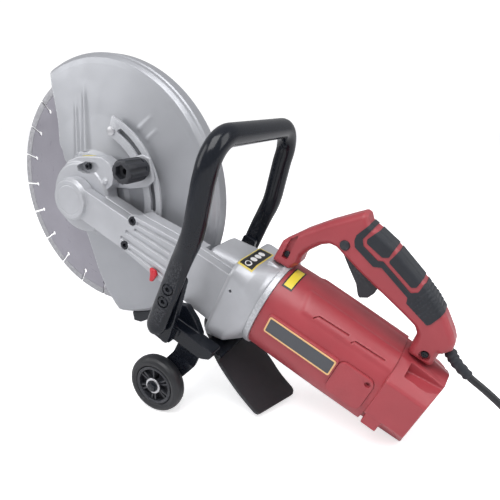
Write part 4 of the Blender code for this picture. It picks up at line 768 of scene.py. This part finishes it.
def copy_of(ob, name, push=0.0, ribs=False):
    """A second body with the same shape, its skin moved out along the normals."""
    o = bpy.data.objects.new(name, ob.data.copy())
    COLL.objects.link(o)
    o.matrix_world = FR
    if push:
        me = o.data
        ns = [w.normal.copy() for w in me.vertices]
        for w, n in zip(me.vertices, ns):
            k = push
            if ribs:
                # ribs across the low end of the grip
                u = -0.967 * (w.co.x / MM + 441.4) - 0.253 * (w.co.z / MM - 142.6)
                if 0.0 < u < 27.0:
                    k -= 0.6 * max(0.0, sin(2 * pi * u / 4.5)) ** 0.5
            w.co += n * (k * MM)
        me.update()
    return o


block = prism("handle_block", d_out, AXIS_Y - 10.0, AXIS_Y + 10.0)
heap(block, prism("hb1", shrink(d_out, 1.2), AXIS_Y - 13.0, AXIS_Y + 13.0), prism("hb2", shrink(d_out, 2.8), AXIS_Y - 15.0, AXIS_Y + 15.0), prism("hb3", shrink(d_out, 4.6), AXIS_Y - HALF - 0.3, AXIS_Y + HALF + 0.3))
soft(block, 0.9, 9)

for s, nm, node in ((1, "handle_shell_left", "rear_handle_left"), (-1, "handle_shell_right", "rear_handle_right")):
    h = copy_of(block, nm)
    Yf = lambda q: AXIS_Y + s * q
    lo_hi = lambda a, b: (min(Yf(a), Yf(b)), max(Yf(a), Yf(b)))
    cut(h, box("mid", -600, -200, Yf(0.15), Yf(-40), 0, 300))
    cut(h, disc("fl", 59.0 + 2 * GAP, -315, -290.5, axis="X", c=(AXIS_Y, AXIS_Z), n=128))
    # bolt slot in the front foot, and the rear screw's pocket
    cut(h, prism("sl", round_poly([(-288.2, 84.0), (-296.4, 84.4), (-295.8, 119.0), (-288.2, 108.6)], [2.5, 2.5, 1.5, 1.0], 5), *lo_hi(10.5, 24)))
    cut(h, disc("sc", 6.2, *lo_hi(12.0, 24), c=(-478, 77), n=48))
    cut(h, prism("c1", [(-330, 140), (-345, 165), (-372, 160), (-430, 141), (-474, 117), (-480, 108), (-470, 100), (-440, 107), (-402, 116.5), (-372, 124), (-344, 134)], *lo_hi(-1, HALF - 3.2)))
    cut(h, prism("c2", [(-334, 138.5), (-344, 123), (-372, 113), (-404, 105), (-405.5, 125.5), (-372, 130.5), (-352, 136)], *lo_hi(-1, 9.4)))
    if s > 0:
        cut(h, disc("bt", 6.0, 20.0, 60.0, c=btn, n=48))
    cut(h, sweep("ch", [(-470, AXIS_Y, 108), (-520, AXIS_Y, 76)], lambda i: (5.6, 5.6)))
    show(h, "red", "frame", [node], angle=40)
    for c, y0, tag in (((-292.5, 89.0), 10.7, "front"), ((-478, 77), 12.3, "rear")):
        sc = lathe(nm + "_screw_" + tag, [(0, Yf(y0 - 3)), (2, Yf(y0 - 3)), (2, Yf(y0)), (4.0, Yf(y0)), (4.0, Yf(y0 + 1.4)), (3.2, Yf(y0 + 2.0)), (0, Yf(y0 + 2.0))], c=c, n=32)
        cut(sc, box("x1", c[0] - 2.6, c[0] + 2.6, Yf(y0 + 0.9), Yf(y0 + 4), c[1] - 0.5, c[1] + 0.5))
        cut(sc, box("x2", c[0] - 0.5, c[0] + 0.5, Yf(y0 + 0.9), Yf(y0 + 4), c[1] - 2.6, c[1] + 2.6))
        show(sc, "paint", "frame", (), bevel=0.12, seg=1)

# soft grip: a band, two pads and a ribbed stretch, wrapped over the back of the handle
GRIP = {
    "grip_band": [(-361.7, 190), (-357.4, 170.2), (-351.4, 154.7), (-352.2, 148.7), (-356.3, 142.1), (-383.5, 133.8), (-391.3, 137.9), (-430.1, 124.2), (-432.5, 117.9), (-461.7, 108.8), (-464.3, 112.5),
                  (-467.6, 124.3), (-474, 148), (-452, 174), (-440.6, 148.6), (-436.6, 145.8), (-436.1, 135.4), (-430.3, 130.5), (-389.4, 144.8), (-384.4, 142.2), (-363.5, 148.3), (-359.3, 154.3), (-363.3, 170.3), (-367.6, 190)],
    "grip_pad_1": [(-375, 192), (-369.9, 170.2), (-367.7, 166.9), (-363.4, 156.9), (-365.3, 152.7), (-386.6, 148.0), (-392.3, 151.8), (-393.0, 164.2), (-398, 186)],
    "grip_pad_2": [(-405, 181), (-397.4, 161.7), (-394.6, 149.0), (-395.8, 146.9), (-427.6, 136.1), (-431.9, 139.2), (-432.9, 148.8), (-441, 168)],
}
first = True
under = copy_of(block, "under", 0.12)
for nm, pts in GRIP.items():
    o = copy_of(block, nm, 1.0, nm == "grip_band")
    boolean(o, prism("o", round_poly(pts, 2.0, 4), -20, 80), "INTERSECT")
    cut(o, copy_of(under, "u"))
    show(o, "rubber", "frame", ["grip_overmould"] if first else (), bevel=0.3, seg=2, angle=50)
    first = False
bpy.data.objects.remove(under, do_unlink=True)
bpy.data.objects.remove(block, do_unlink=True)

tg = prism("trigger_blade", round_poly([(-344.8, 127.4), (-347.5, 132.5), (-353, 130), (-372, 124.5), (-399, 117.5), (-399.5, 104), (-396, 95), (-388, 89.5), (-384.5, 92), (-377, 102), (-362, 113.5)], 2.0, 5), AXIS_Y - 8.6, AXIS_Y + 8.6)
show(tg, "black", "trigger_body", ["trigger"], bevel=1.6, seg=4)
lb = lathe("lock_button_cap", [(0, 42.3), (5.7, 42.3), (5.7, 47.0), (5.0, 48.2), (3.6, 48.8), (0, 49.0)], c=btn, n=48)
show(lb, "black", "lock_body", ["lock_button"])

# ================================================================ cord
cp = smooth_path([(-482, 30, 100.4), (-497, 30, 90.8), (-510, 30, 83.0), (-528, 30, 77.0), (-552, 30, 73), (-576, 30, 67.5), (-600, 30, 60)], 8)
show(sweep("mains_cord", cp, lambda i: (4.1, 4.1), n=24), "cord", "frame", ["power_cord"], bevel=0)
gpth = smooth_path([(-481, 30, 101.0), (-497, 30, 90.8), (-510, 30, 83.0), (-528, 30, 77.0)], 10)
cgs = sweep("cord_boot", gpth, lambda i: (5.2, 5.2) if i < 11 else ((7.0 - (i - 11) * 0.06,) * 2 if (i // 2) % 2 == 0 else (6.1 - (i - 11) * 0.05,) * 2), n=28)
cut(cgs, sweep("cgc", smooth_path([(-470, 30, 108.0), (-497, 30, 90.8), (-510, 30, 83.0), (-528, 30, 77.0), (-540, 30, 74)], 8), lambda i: (4.35, 4.35), n=24))
show(cgs, "rubber", "frame", ["cord_guard"], bevel=0.2, seg=1)

# ================================================================ front handle
def handle_path():
    y = AXIS_Y + 100.5
    P = [(-211, y, -49.0, 4.2, 4.0), (-211, y, -48.3, 6.4, 5.2), (-211, y, -46.6, 8.9, 6.0), (-211, y, -44, 10.9, 6.4), (-211, y, -40.5, 12.3, 6.6), (-211, y, -37, 12.8, 6.6), (-211, y, -20, 12.8, 6.6), (-211, y, 20, 12.8, 6.6), (-211, y, 50, 12.8, 6.8),
         (-211.4, y, 62, 12.6, 8.2), (-211.8, y, 72, 12.6, 10.6), (-212.4, y, 82, 12.7, 12.5), (-212.2, y, 92, 12.7, 12.7), (-210.6, y, 104, 12.7, 12.7), (-208.2, y, 116, 12.7, 12.7), (-202, y, 148, 12.7, 12.7)]
    P = [tuple(q) for q in P]
    out = []
    V5 = [Vector(q[:3]) for q in P]
    br = 34.0
    x1, z1 = -194.0, 195.0
    lean = 19.0 / 102.0
    for q in P:
        out.append(q)
    for k in range(0, 15):
        a = radians(90 * k / 14)
        zz = z1 - br + br * sin(a)
        out.append((x1 + (zz - z1) * lean, y - br + br * cos(a), zz, 12.7, 12.7))
    for k in range(1, 4):
        out.append((x1, y - br - (66.5 / 3) * k, z1, 12.7, 12.7))
    other = [(p[0], 2 * AXIS_Y - p[1], p[2], p[3], p[4]) for p in reversed(out[:-1])]
    return out + other


hp = handle_path()
fh = sweep("loop_handle", [p[:3] for p in hp], lambda i: (hp[i][3], hp[i][4]), n=40)
for s in (1, -1):
    for z in (18.0, 0.0):
        yy = AXIS_Y + s * 100.5
        cut(fh, disc("hb", 4.3, yy - 15, yy + 15, c=(-211, z), n=32))
        cut(fh, disc("cb", 7.4, min(AXIS_Y + s * 102.2, AXIS_Y + s * 118), max(AXIS_Y + s * 102.2, AXIS_Y + s * 118), c=(-211, z), n=48))
show(fh, "paint", "frame", ["front_handle"], bevel=0.3, seg=2, angle=45)
for s, side in ((1, "left"), (-1, "right")):
    for z, tag in ((18.0, "upper"), (0.0, "lower")):
        socket_screw("leg_bolt_%s_%s" % (side, tag), (-211, z), s, AXIS_Y + s * 102.4, AXIS_Y + s * 106.6, 6.2, "paint", "frame",
                     ["handle_bolt_%s_%s" % (side, tag)], hexr=3.1, depth=2.6, shaft=(4.0, 20.5))

# ================================================================ brackets
cb = box("handle_bracket", -288, -258, AXIS_Y - 58, AXIS_Y + 58, -60.5, -56.0)
for s in (1, -1):
    f = lambda q: AXIS_Y + s * q
    mm = lambda a, b: (min(f(a), f(b)), max(f(a), f(b)))
    a, b = mm(57.5, 78)
    bar = prism("bar", round_poly([(-202, -42), (-202, -57), (-214, -60.5), (-270, -60.5), (-282, -53), (-283, -42)], [3, 3, 3, 9, 7, 5], 6), a, b)
    a, b = mm(77.8, 89)
    bar2 = prism("bar2", [(-202, -45), (-202, -58), (-230, -60), (-230, -45)], a, b)
    a, b = mm(84.5, 93.5)
    up = prism("up", round_poly([(-201, -58), (-201, 32), (-221, 32), (-228, -20), (-230, -60)], 5, 5), a, b)
    gus = prism("gusset", round_poly([(-254, -44), (-240, -30), (-222, -20), (-207, -27), (-204, -44), (-214, -58), (-254, -58)], 4, 5), *mm(52, 62))
    join(cb, bar, bar2, up, gus)
    for z in (18.0, 0.0):
        cut(cb, disc("hb", 4.3, f(78), f(97), c=(-211, z), n=32))
soft(cb, 0.9, 3)
show(cb, "paint", "frame", ["cross_bracket"], angle=40)

for s, side in ((1, "left"), (-1, "right")):
    f = lambda q: AXIS_Y + s * q
    path = smooth_path([(75.0, -61.8, -268, -236), (73.6, -66, -267.6, -235.4), (69.7, -80.0, -266.2, -233.4), (70.1, -87, -264.5, -231.5), (73.0, -102.0, -259.4, -226.4), (73.1, -108, -257, -224.5), (73.0, -135.0, -251, -221)], 6)
    th = 4.0
    rings = []
    for i, p in enumerate(path):
        q = [Vector((w[0], w[1])) for w in path]
        t = (q[min(i + 1, len(q) - 1)] - q[max(i - 1, 0)]).normalized()
        nrm = Vector((-t.y, t.x)) * (th / 2)
        x0, x1 = p[2], p[3]
        if i > len(path) - 7:
            k = (i - (len(path) - 7)) / 6.0
            e = 9.0 * (1 - sqrt(max(0.0, 1 - k * k)))
            x0, x1 = x0 + e, x1 - e
        q0, q1 = Vector((p[0], p[1])) + nrm, Vector((p[0], p[1])) - nrm
        rings.append([(x0, f(q0.x), q0.y), (x1, f(q0.x), q0.y), (x1, f(q1.x), q1.y), (x0, f(q1.x), q1.y)])
    wb = loft("wheel_strap_" + side, rings)
    cut(wb, disc("ax", 4.4, f(64), f(82), c=(WHEEL_X, WHEEL_Z), n=32))
    show(wb, "paint", "frame", ["wheel_bracket_" + side], bevel=0.5)

    # wheel: tyre, moulded wheel with double spokes, hub ring
    hi, ho = 77.0, 98.0
    tyre = [(27.0, hi + 1.6), (31.0, hi + 0.4), (34.5, hi + 2.0), (36.6, hi + 4.8), (37.5, hi + 8.6), (37.5, ho - 8.6), (36.6, ho - 4.8), (34.5, ho - 2.0), (31.0, ho - 0.4), (27.0, ho - 1.6), (25.6, ho - 3.4), (25.6, hi + 3.4)]
    tp = [tuple(q) for q in round_poly([(r, f(q)) for r, q in tyre], 1.5, 4)]
    t = lathe("tyre_" + side, tp, c=(WHEEL_X, WHEEL_Z), n=128)
    show(t, "tyre", side + "_wheel", ["wheel_" + side])
    sp = lathe("wheel_body_" + side, [(5.0, f(hi + 1.6)), (9.0, f(hi + 1.6)), (9.0, f(ho - 2.4)), (5.0, f(ho - 2.4))], c=(WHEEL_X, WHEEL_Z), n=64)
    join(sp, lathe("web", [(8.0, f(84.5)), (25.4, f(84.5)), (25.4, f(88.0)), (8.0, f(88.0))], c=(WHEEL_X, WHEEL_Z), n=128))
    join(sp, lathe("rimin", [(21.6, f(hi + 2.4)), (25.4, f(hi + 2.0)), (25.4, f(ho - 2.0)), (24.2, f(ho - 1.2)), (21.6, f(ho - 2.4))], c=(WHEEL_X, WHEEL_Z), n=128))
    for k in range(6):
        for off in (-7.5, 7.5):
            a = radians(60 * k + off + 12)
            u, w = Vector((cos(a), sin(a))), Vector((-sin(a), cos(a)))
            pq = [u * 8.2 + w * 1.1, u * 23.0 + w * 1.1, u * 23.0 - w * 1.1, u * 8.2 - w * 1.1]
            join(sp, prism("sp", [(WHEEL_X + q.x, WHEEL_Z + q.y) for q in pq], min(f(hi + 4), f(ho - 4)), max(f(hi + 4), f(ho - 4))))
    show(sp, "black", side + "_wheel", (), bevel=0.35)
    rg = lathe("hub_ring_" + side, [(5.0, f(ho - 2.2)), (10.4, f(ho - 2.2)), (10.4, f(ho - 0.8)), (9.6, f(ho - 0.2)), (5.0, f(ho - 0.2))], c=(WHEEL_X, WHEEL_Z), n=96)
    show(rg, "zinc", side + "_wheel", (), bevel=0.2)
    ab = lathe("wheel_bolt_" + side, [(0, f(67.0)), (4.1, f(67.0)), (4.1, f(ho)), (7.6, f(ho)), (7.6, f(ho + 0.9)), (0, f(ho + 0.9))], c=(WHEEL_X, WHEEL_Z), n=48)
    join(ab, prism("hx", hexagon((WHEEL_X, WHEEL_Z), 6.3, 10), min(f(ho + 0.4), f(ho + 3.6)), max(f(ho + 0.4), f(ho + 3.6))))
    show(ab, "paint", "frame", ["axle_bolt_" + side], bevel=0.3)

# ================================================================ splash flap
NEAR = smooth_path([(-274.0, 78.0, -64.5), (-293.0, 80.0, -75.0), (-328.0, 83.0, -88.5), (-364.0, 86.0, -97.3)], 10)
FAR = smooth_path([(-286.0, 2.0, -64.5), (-324.0, 6.0, -74.0), (-352.0, 11.0, -83.5), (-381.0, 16.0, -89.0)], 10)
rows, NC, NK = [], 24, len(NEAR)
for k in range(NK):
    nv, fv = Vector((NEAR[k][0], NEAR[k][2])), Vector((FAR[k][0], FAR[k][2]))
    k0, k1 = max(k - 1, 0), min(k + 1, NK - 1)
    d = Vector((NEAR[k1][0] - NEAR[k0][0], NEAR[k1][2] - NEAR[k0][2]))
    nrm = Vector((-d.y, d.x)).normalized()
    nrm = nrm if nrm.y > 0 else -nrm
    rem = (Vector((NEAR[-1][0], NEAR[-1][2])) - nv).length
    e = 9 - sqrt(max(0.0, 81 - (9 - rem) ** 2)) if rem < 9 else 0.0
    up_, dn_ = [], []
    for j in range(NC + 1):
        q = j / NC
        yy = (NEAR[k][1] - e) + (FAR[k][1] - NEAR[k][1] + 2 * e) * q
        p = nv.lerp(fv, q) + nrm * (0.9 * sin(pi * q) * k / NK)
        up_.append((p.x + nrm.x * 2.0, yy, p.y + nrm.y * 2.0))
        dn_.append((p.x - nrm.x * 2.0, yy, p.y - nrm.y * 2.0))
    rows.append(up_ + dn_[::-1])
show(loft("rubber_flap", rows), "flap", "frame", ["splash_flap"], bevel=0.6, seg=2)

# ================================================================ labels, blank
def patch(name, host, cx0, cx1, a0, a1, m, lift=0.35, thick=0.28, nx=10, na=24, rcorner=0.0, cy=AXIS_Y, cz=AXIS_Z, slotname="plate"):
    """A thin sticker laid on a housing: rays run in towards the motor's axis."""
    bm = bmesh.new()
    bm.from_mesh(host.data)
    bm.transform(FR.to_3x3().to_4x4().inverted())
    tree = BVHTree.FromBMesh(bm)
    top, bot = [], []
    for i in range(nx + 1):
        for j in range(na + 1):
            x = cx0 + (cx1 - cx0) * i / nx
            a = radians(a0 + (a1 - a0) * j / na)
            dv = Vector((0, cos(a), sin(a)))
            o = (Vector((x, cy, cz)) + dv * 120) * MM
            hit = tree.ray_cast(o, -dv)
            q = hit[0] / MM if hit[0] else Vector((x, cy, cz)) + dv * 57
            top.append(tuple(q + dv * lift))
            bot.append(tuple(q + dv * (lift - thick)))
    bm.free()
    k = na + 1
    V = top + bot
    o = len(top)
    F = []
    for i in range(nx):
        for j in range(na):
            F += [(i * k + j, i * k + j + 1, (i + 1) * k + j + 1, (i + 1) * k + j), (o + i * k + j, o + i * k + j + 1, o + (i + 1) * k + j + 1, o + (i + 1) * k + j)]
    for i in range(nx):
        for j in (0, na):
            F.append((i * k + j, (i + 1) * k + j, o + (i + 1) * k + j, o + i * k + j))
    for j in range(na):
        for i in (0, nx):
            F.append((i * k + j, i * k + j + 1, o + i * k + j + 1, o + i * k + j))
    ob = new(name, V, F)
    return show(ob, m, "frame", (), angle=50)


patch("top_label_edge", gh, -251.5, -272.5, 44, 105, "gold", lift=0.30, na=30)
patch("top_label_face", gh, -253.2, -270.8, 46.5, 103, "ink", lift=0.45, na=30)
patch("motor_label_edge", mh, -308.5, -322.0, 52, 92, "ink", lift=0.30)
patch("motor_label_face", mh, -310.2, -320.5, 54.5, 90, "yellow", lift=0.45)


def dot(name, host, x, a, r, m, lift=0.6, thick=0.3):
    bm = bmesh.new()
    bm.from_mesh(host.data)
    bm.transform(FR.to_3x3().to_4x4().inverted())
    tree = BVHTree.FromBMesh(bm)
    top, bot = [], []
    ar = radians(a)
    dv = Vector((0, cos(ar), sin(ar)))
    tv = Vector((0, -sin(ar), cos(ar)))
    for i in range(28):
        t = 2 * pi * i / 28
        p = Vector((x + r * cos(t), AXIS_Y, AXIS_Z)) + tv * (r * sin(t)) + dv * 120
        hit = tree.ray_cast(p * MM, -dv)
        q = hit[0] / MM
        top.append(tuple(q + dv * lift))
        bot.append(tuple(q + dv * (lift - thick)))
    bm.free()
    ob = new(name, top + bot, [tuple(range(28)), tuple(range(28, 56))] + [(i, (i + 1) % 28, 28 + (i + 1) % 28, 28 + i) for i in range(28)])
    return show(ob, m, "frame", (), angle=50)


def strip(name, host, a, b, y0, y1, m, lift=0.3, nx=10, ny=6):
    """A thin sticker on an upper face, laid down square to the line from a to b."""
    bm = bmesh.new()
    bm.from_mesh(host.data)
    bm.transform(FR.to_3x3().to_4x4().inverted())
    tree = BVHTree.FromBMesh(bm)
    ux, uz = b[0] - a[0], b[1] - a[1]
    n = Vector((-uz, 0, ux)).normalized()
    n = n if n.z > 0 else -n
    top, bot = [], []
    for i in range(nx + 1):
        for j in range(ny + 1):
            p = Vector((a[0] + ux * i / nx, y0 + (y1 - y0) * j / ny, a[1] + uz * i / nx))
            hit = tree.ray_cast((p + n * 15) * MM, -n)
            q = hit[0] / MM if hit[0] else p
            top.append(tuple(q + n * lift))
            bot.append(tuple(q - n * 0.15))
    bm.free()
    k, o = ny + 1, len(top)
    F = []
    for i in range(nx):
        for j in range(ny):
            c = (i * k + j, i * k + j + 1, (i + 1) * k + j + 1, (i + 1) * k + j)
            F += [c, tuple(o + w for w in c)]
    for i in range(nx):
        for j in (0, ny):
            F.append((i * k + j, (i + 1) * k + j, o + (i + 1) * k + j, o + i * k + j))
    for j in range(ny):
        for i in (0, nx):
            F.append((i * k + j, i * k + j + 1, o + i * k + j + 1, o + i * k + j))
    return show(new(name, top + bot, F), m, "frame", (), angle=50)


strip("head_label", arm, (21, 52), (4, 61.4), 44.5, 51.0, "yellow")
for k, a in enumerate((52, 64, 76, 88)):
    dot("top_label_dot_%d" % k, gh, -262.0, a, 4.3, "white")

# ================================================================ CAD nodes shown as they are: inside parts and clamped parts
INSIDE = {"spindle": "steel", "outer_flange": "steel", "arbor_bolt": "steel", "driven_pulley": "steel", "drive_pulley": "steel", "jackshaft": "steel", "ring_gear": "steel",
          "armature_shaft": "steel", "armature_core": "iron", "commutator": "copper", "cooling_fan": "black", "stator_core": "iron", "bearing_plate": "alu", "brush_carrier": "black",
          "carbon_brush_left": "carbon", "carbon_brush_right": "carbon", "spindle_bearing_front": "steel", "spindle_bearing_rear": "steel", "jackshaft_bearing": "steel",
          "armature_bearing_front": "steel", "armature_bearing_rear": "steel", "drive_belt": "rubber", "switch_module": "black", "guard_clamp_bolt": "zinc"}
for nme, m in INSIDE.items():
    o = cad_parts[nme]
    o.data.materials.clear()
    o.data.materials.append(M[m])
    bv = o.modifiers.new("edge", "BEVEL")
    bv.width = 0.2 * MM
    bv.segments = 1
    bv.limit_method = "ANGLE"
    bv.angle_limit = radians(40)

# ================================================================ stage
def floor():
    bm = bmesh.new()
    S = 6.0
    prof = [(-S, 0.0)] + [(S * 0.2 + 0, 0.0)]
    vs = [bm.verts.new(p) for p in ((-S, -S, 0), (S, -S, 0), (S, S, 0), (-S, S, 0))]
    bm.faces.new(vs)
    me = bpy.data.meshes.new("studio_floor")
    bm.to_mesh(me)
    bm.free()
    o = bpy.data.objects.new("studio_floor", me)
    COLL.objects.link(o)
    m = bpy.data.materials.new("studio_white")
    m.use_nodes = True
    N, L = m.node_tree.nodes, m.node_tree.links
    b = N["Principled BSDF"]
    b.inputs["Base Color"].default_value = (0.86, 0.86, 0.87, 1)
    b.inputs["Roughness"].default_value = 0.75
    b.inputs["Emission Color"].default_value = (1, 1, 1, 1)
    lpf = N.new("ShaderNodeLightPath")
    em = N.new("ShaderNodeMath")
    em.operation = "MULTIPLY"
    L.new(lpf.outputs["Is Camera Ray"], em.inputs[0])
    em.inputs[1].default_value = 0.62
    L.new(em.outputs[0], b.inputs["Emission Strength"])
    me.materials.append(m)
    o.location = (0, 0, -0.0004)


floor()
world = bpy.data.worlds.new("studio")
bpy.context.scene.world = world
world.use_nodes = True
wn, wl = world.node_tree.nodes, world.node_tree.links
bg = wn["Background"]
tcw = wn.new("ShaderNodeTexCoord")
sx = wn.new("ShaderNodeSeparateXYZ")
wl.new(tcw.outputs["Generated"], sx.inputs[0])
ramp = wn.new("ShaderNodeValToRGB")
ramp.color_ramp.elements[0].position = 0.45
ramp.color_ramp.elements[0].color = (0.42, 0.42, 0.43, 1)
ramp.color_ramp.elements[1].position = 0.95
ramp.color_ramp.elements[1].color = (0.50, 0.50, 0.52, 1)
wl.new(sx.outputs["Z"], ramp.inputs[0])
lp = wn.new("ShaderNodeLightPath")
mixw = wn.new("ShaderNodeMix")
mixw.data_type = "RGBA"
wl.new(lp.outputs["Is Camera Ray"], mixw.inputs["Factor"])
wl.new(ramp.outputs[0], mixw.inputs["A"])
mixw.inputs["B"].default_value = (1.15, 1.15, 1.15, 1)
wl.new(mixw.outputs["Result"], bg.inputs["Color"])
bg.inputs["Strength"].default_value = 0.95


def area(name, loc, target, size, power, size_y=None):
    l = bpy.data.lights.new(name, "AREA")
    l.energy = power
    l.shape = "RECTANGLE"
    l.size = size
    l.size_y = size_y or size
    o = bpy.data.objects.new(name, l)
    COLL.objects.link(o)
    o.location = loc
    d = Vector(target) - Vector(loc)
    o.rotation_euler = d.to_track_quat("-Z", "Y").to_euler()


area("key", (-0.3, 0.9, 2.1), (-0.05, 0, 0.2), 1.5, 34)
area("left", (1.6, 1.2, 1.3), (0.05, 0, 0.25), 1.1, 15, 1.7)
area("rim", (-1.7, -0.3, 1.3), (-0.1, 0, 0.2), 0.9, 12, 1.5)

# ================================================================ camera
Rb = ((-0.807721, -0.451939, 0.378600), (-0.527134, 0.266007, -0.807075), (0.264038, -0.851464, -0.453092))
rot3 = FR.to_3x3()
right, down, fwd = (rot3 @ Vector(r) for r in Rb)
cam_loc = FR @ (Vector((-404.576, 542.951, 333.392)) * MM)
cm = Matrix.Identity(4)
for i in range(3):
    cm[i][0], cm[i][1], cm[i][2], cm[i][3] = right[i], -down[i], -fwd[i], cam_loc[i]
cam = bpy.data.cameras.new("camera")
cam.sensor_width = 36.0
cam.sensor_fit = "HORIZONTAL"
cam.lens = 484.979 * 36.0 / 500.0
cam.clip_start = 0.01
co = bpy.data.objects.new("camera", cam)
COLL.objects.link(co)
co.matrix_world = cm
bpy.context.scene.camera = co
bpy.context.scene.view_settings.view_transform = "Standard"
bpy.context.scene.view_settings.look = "None"
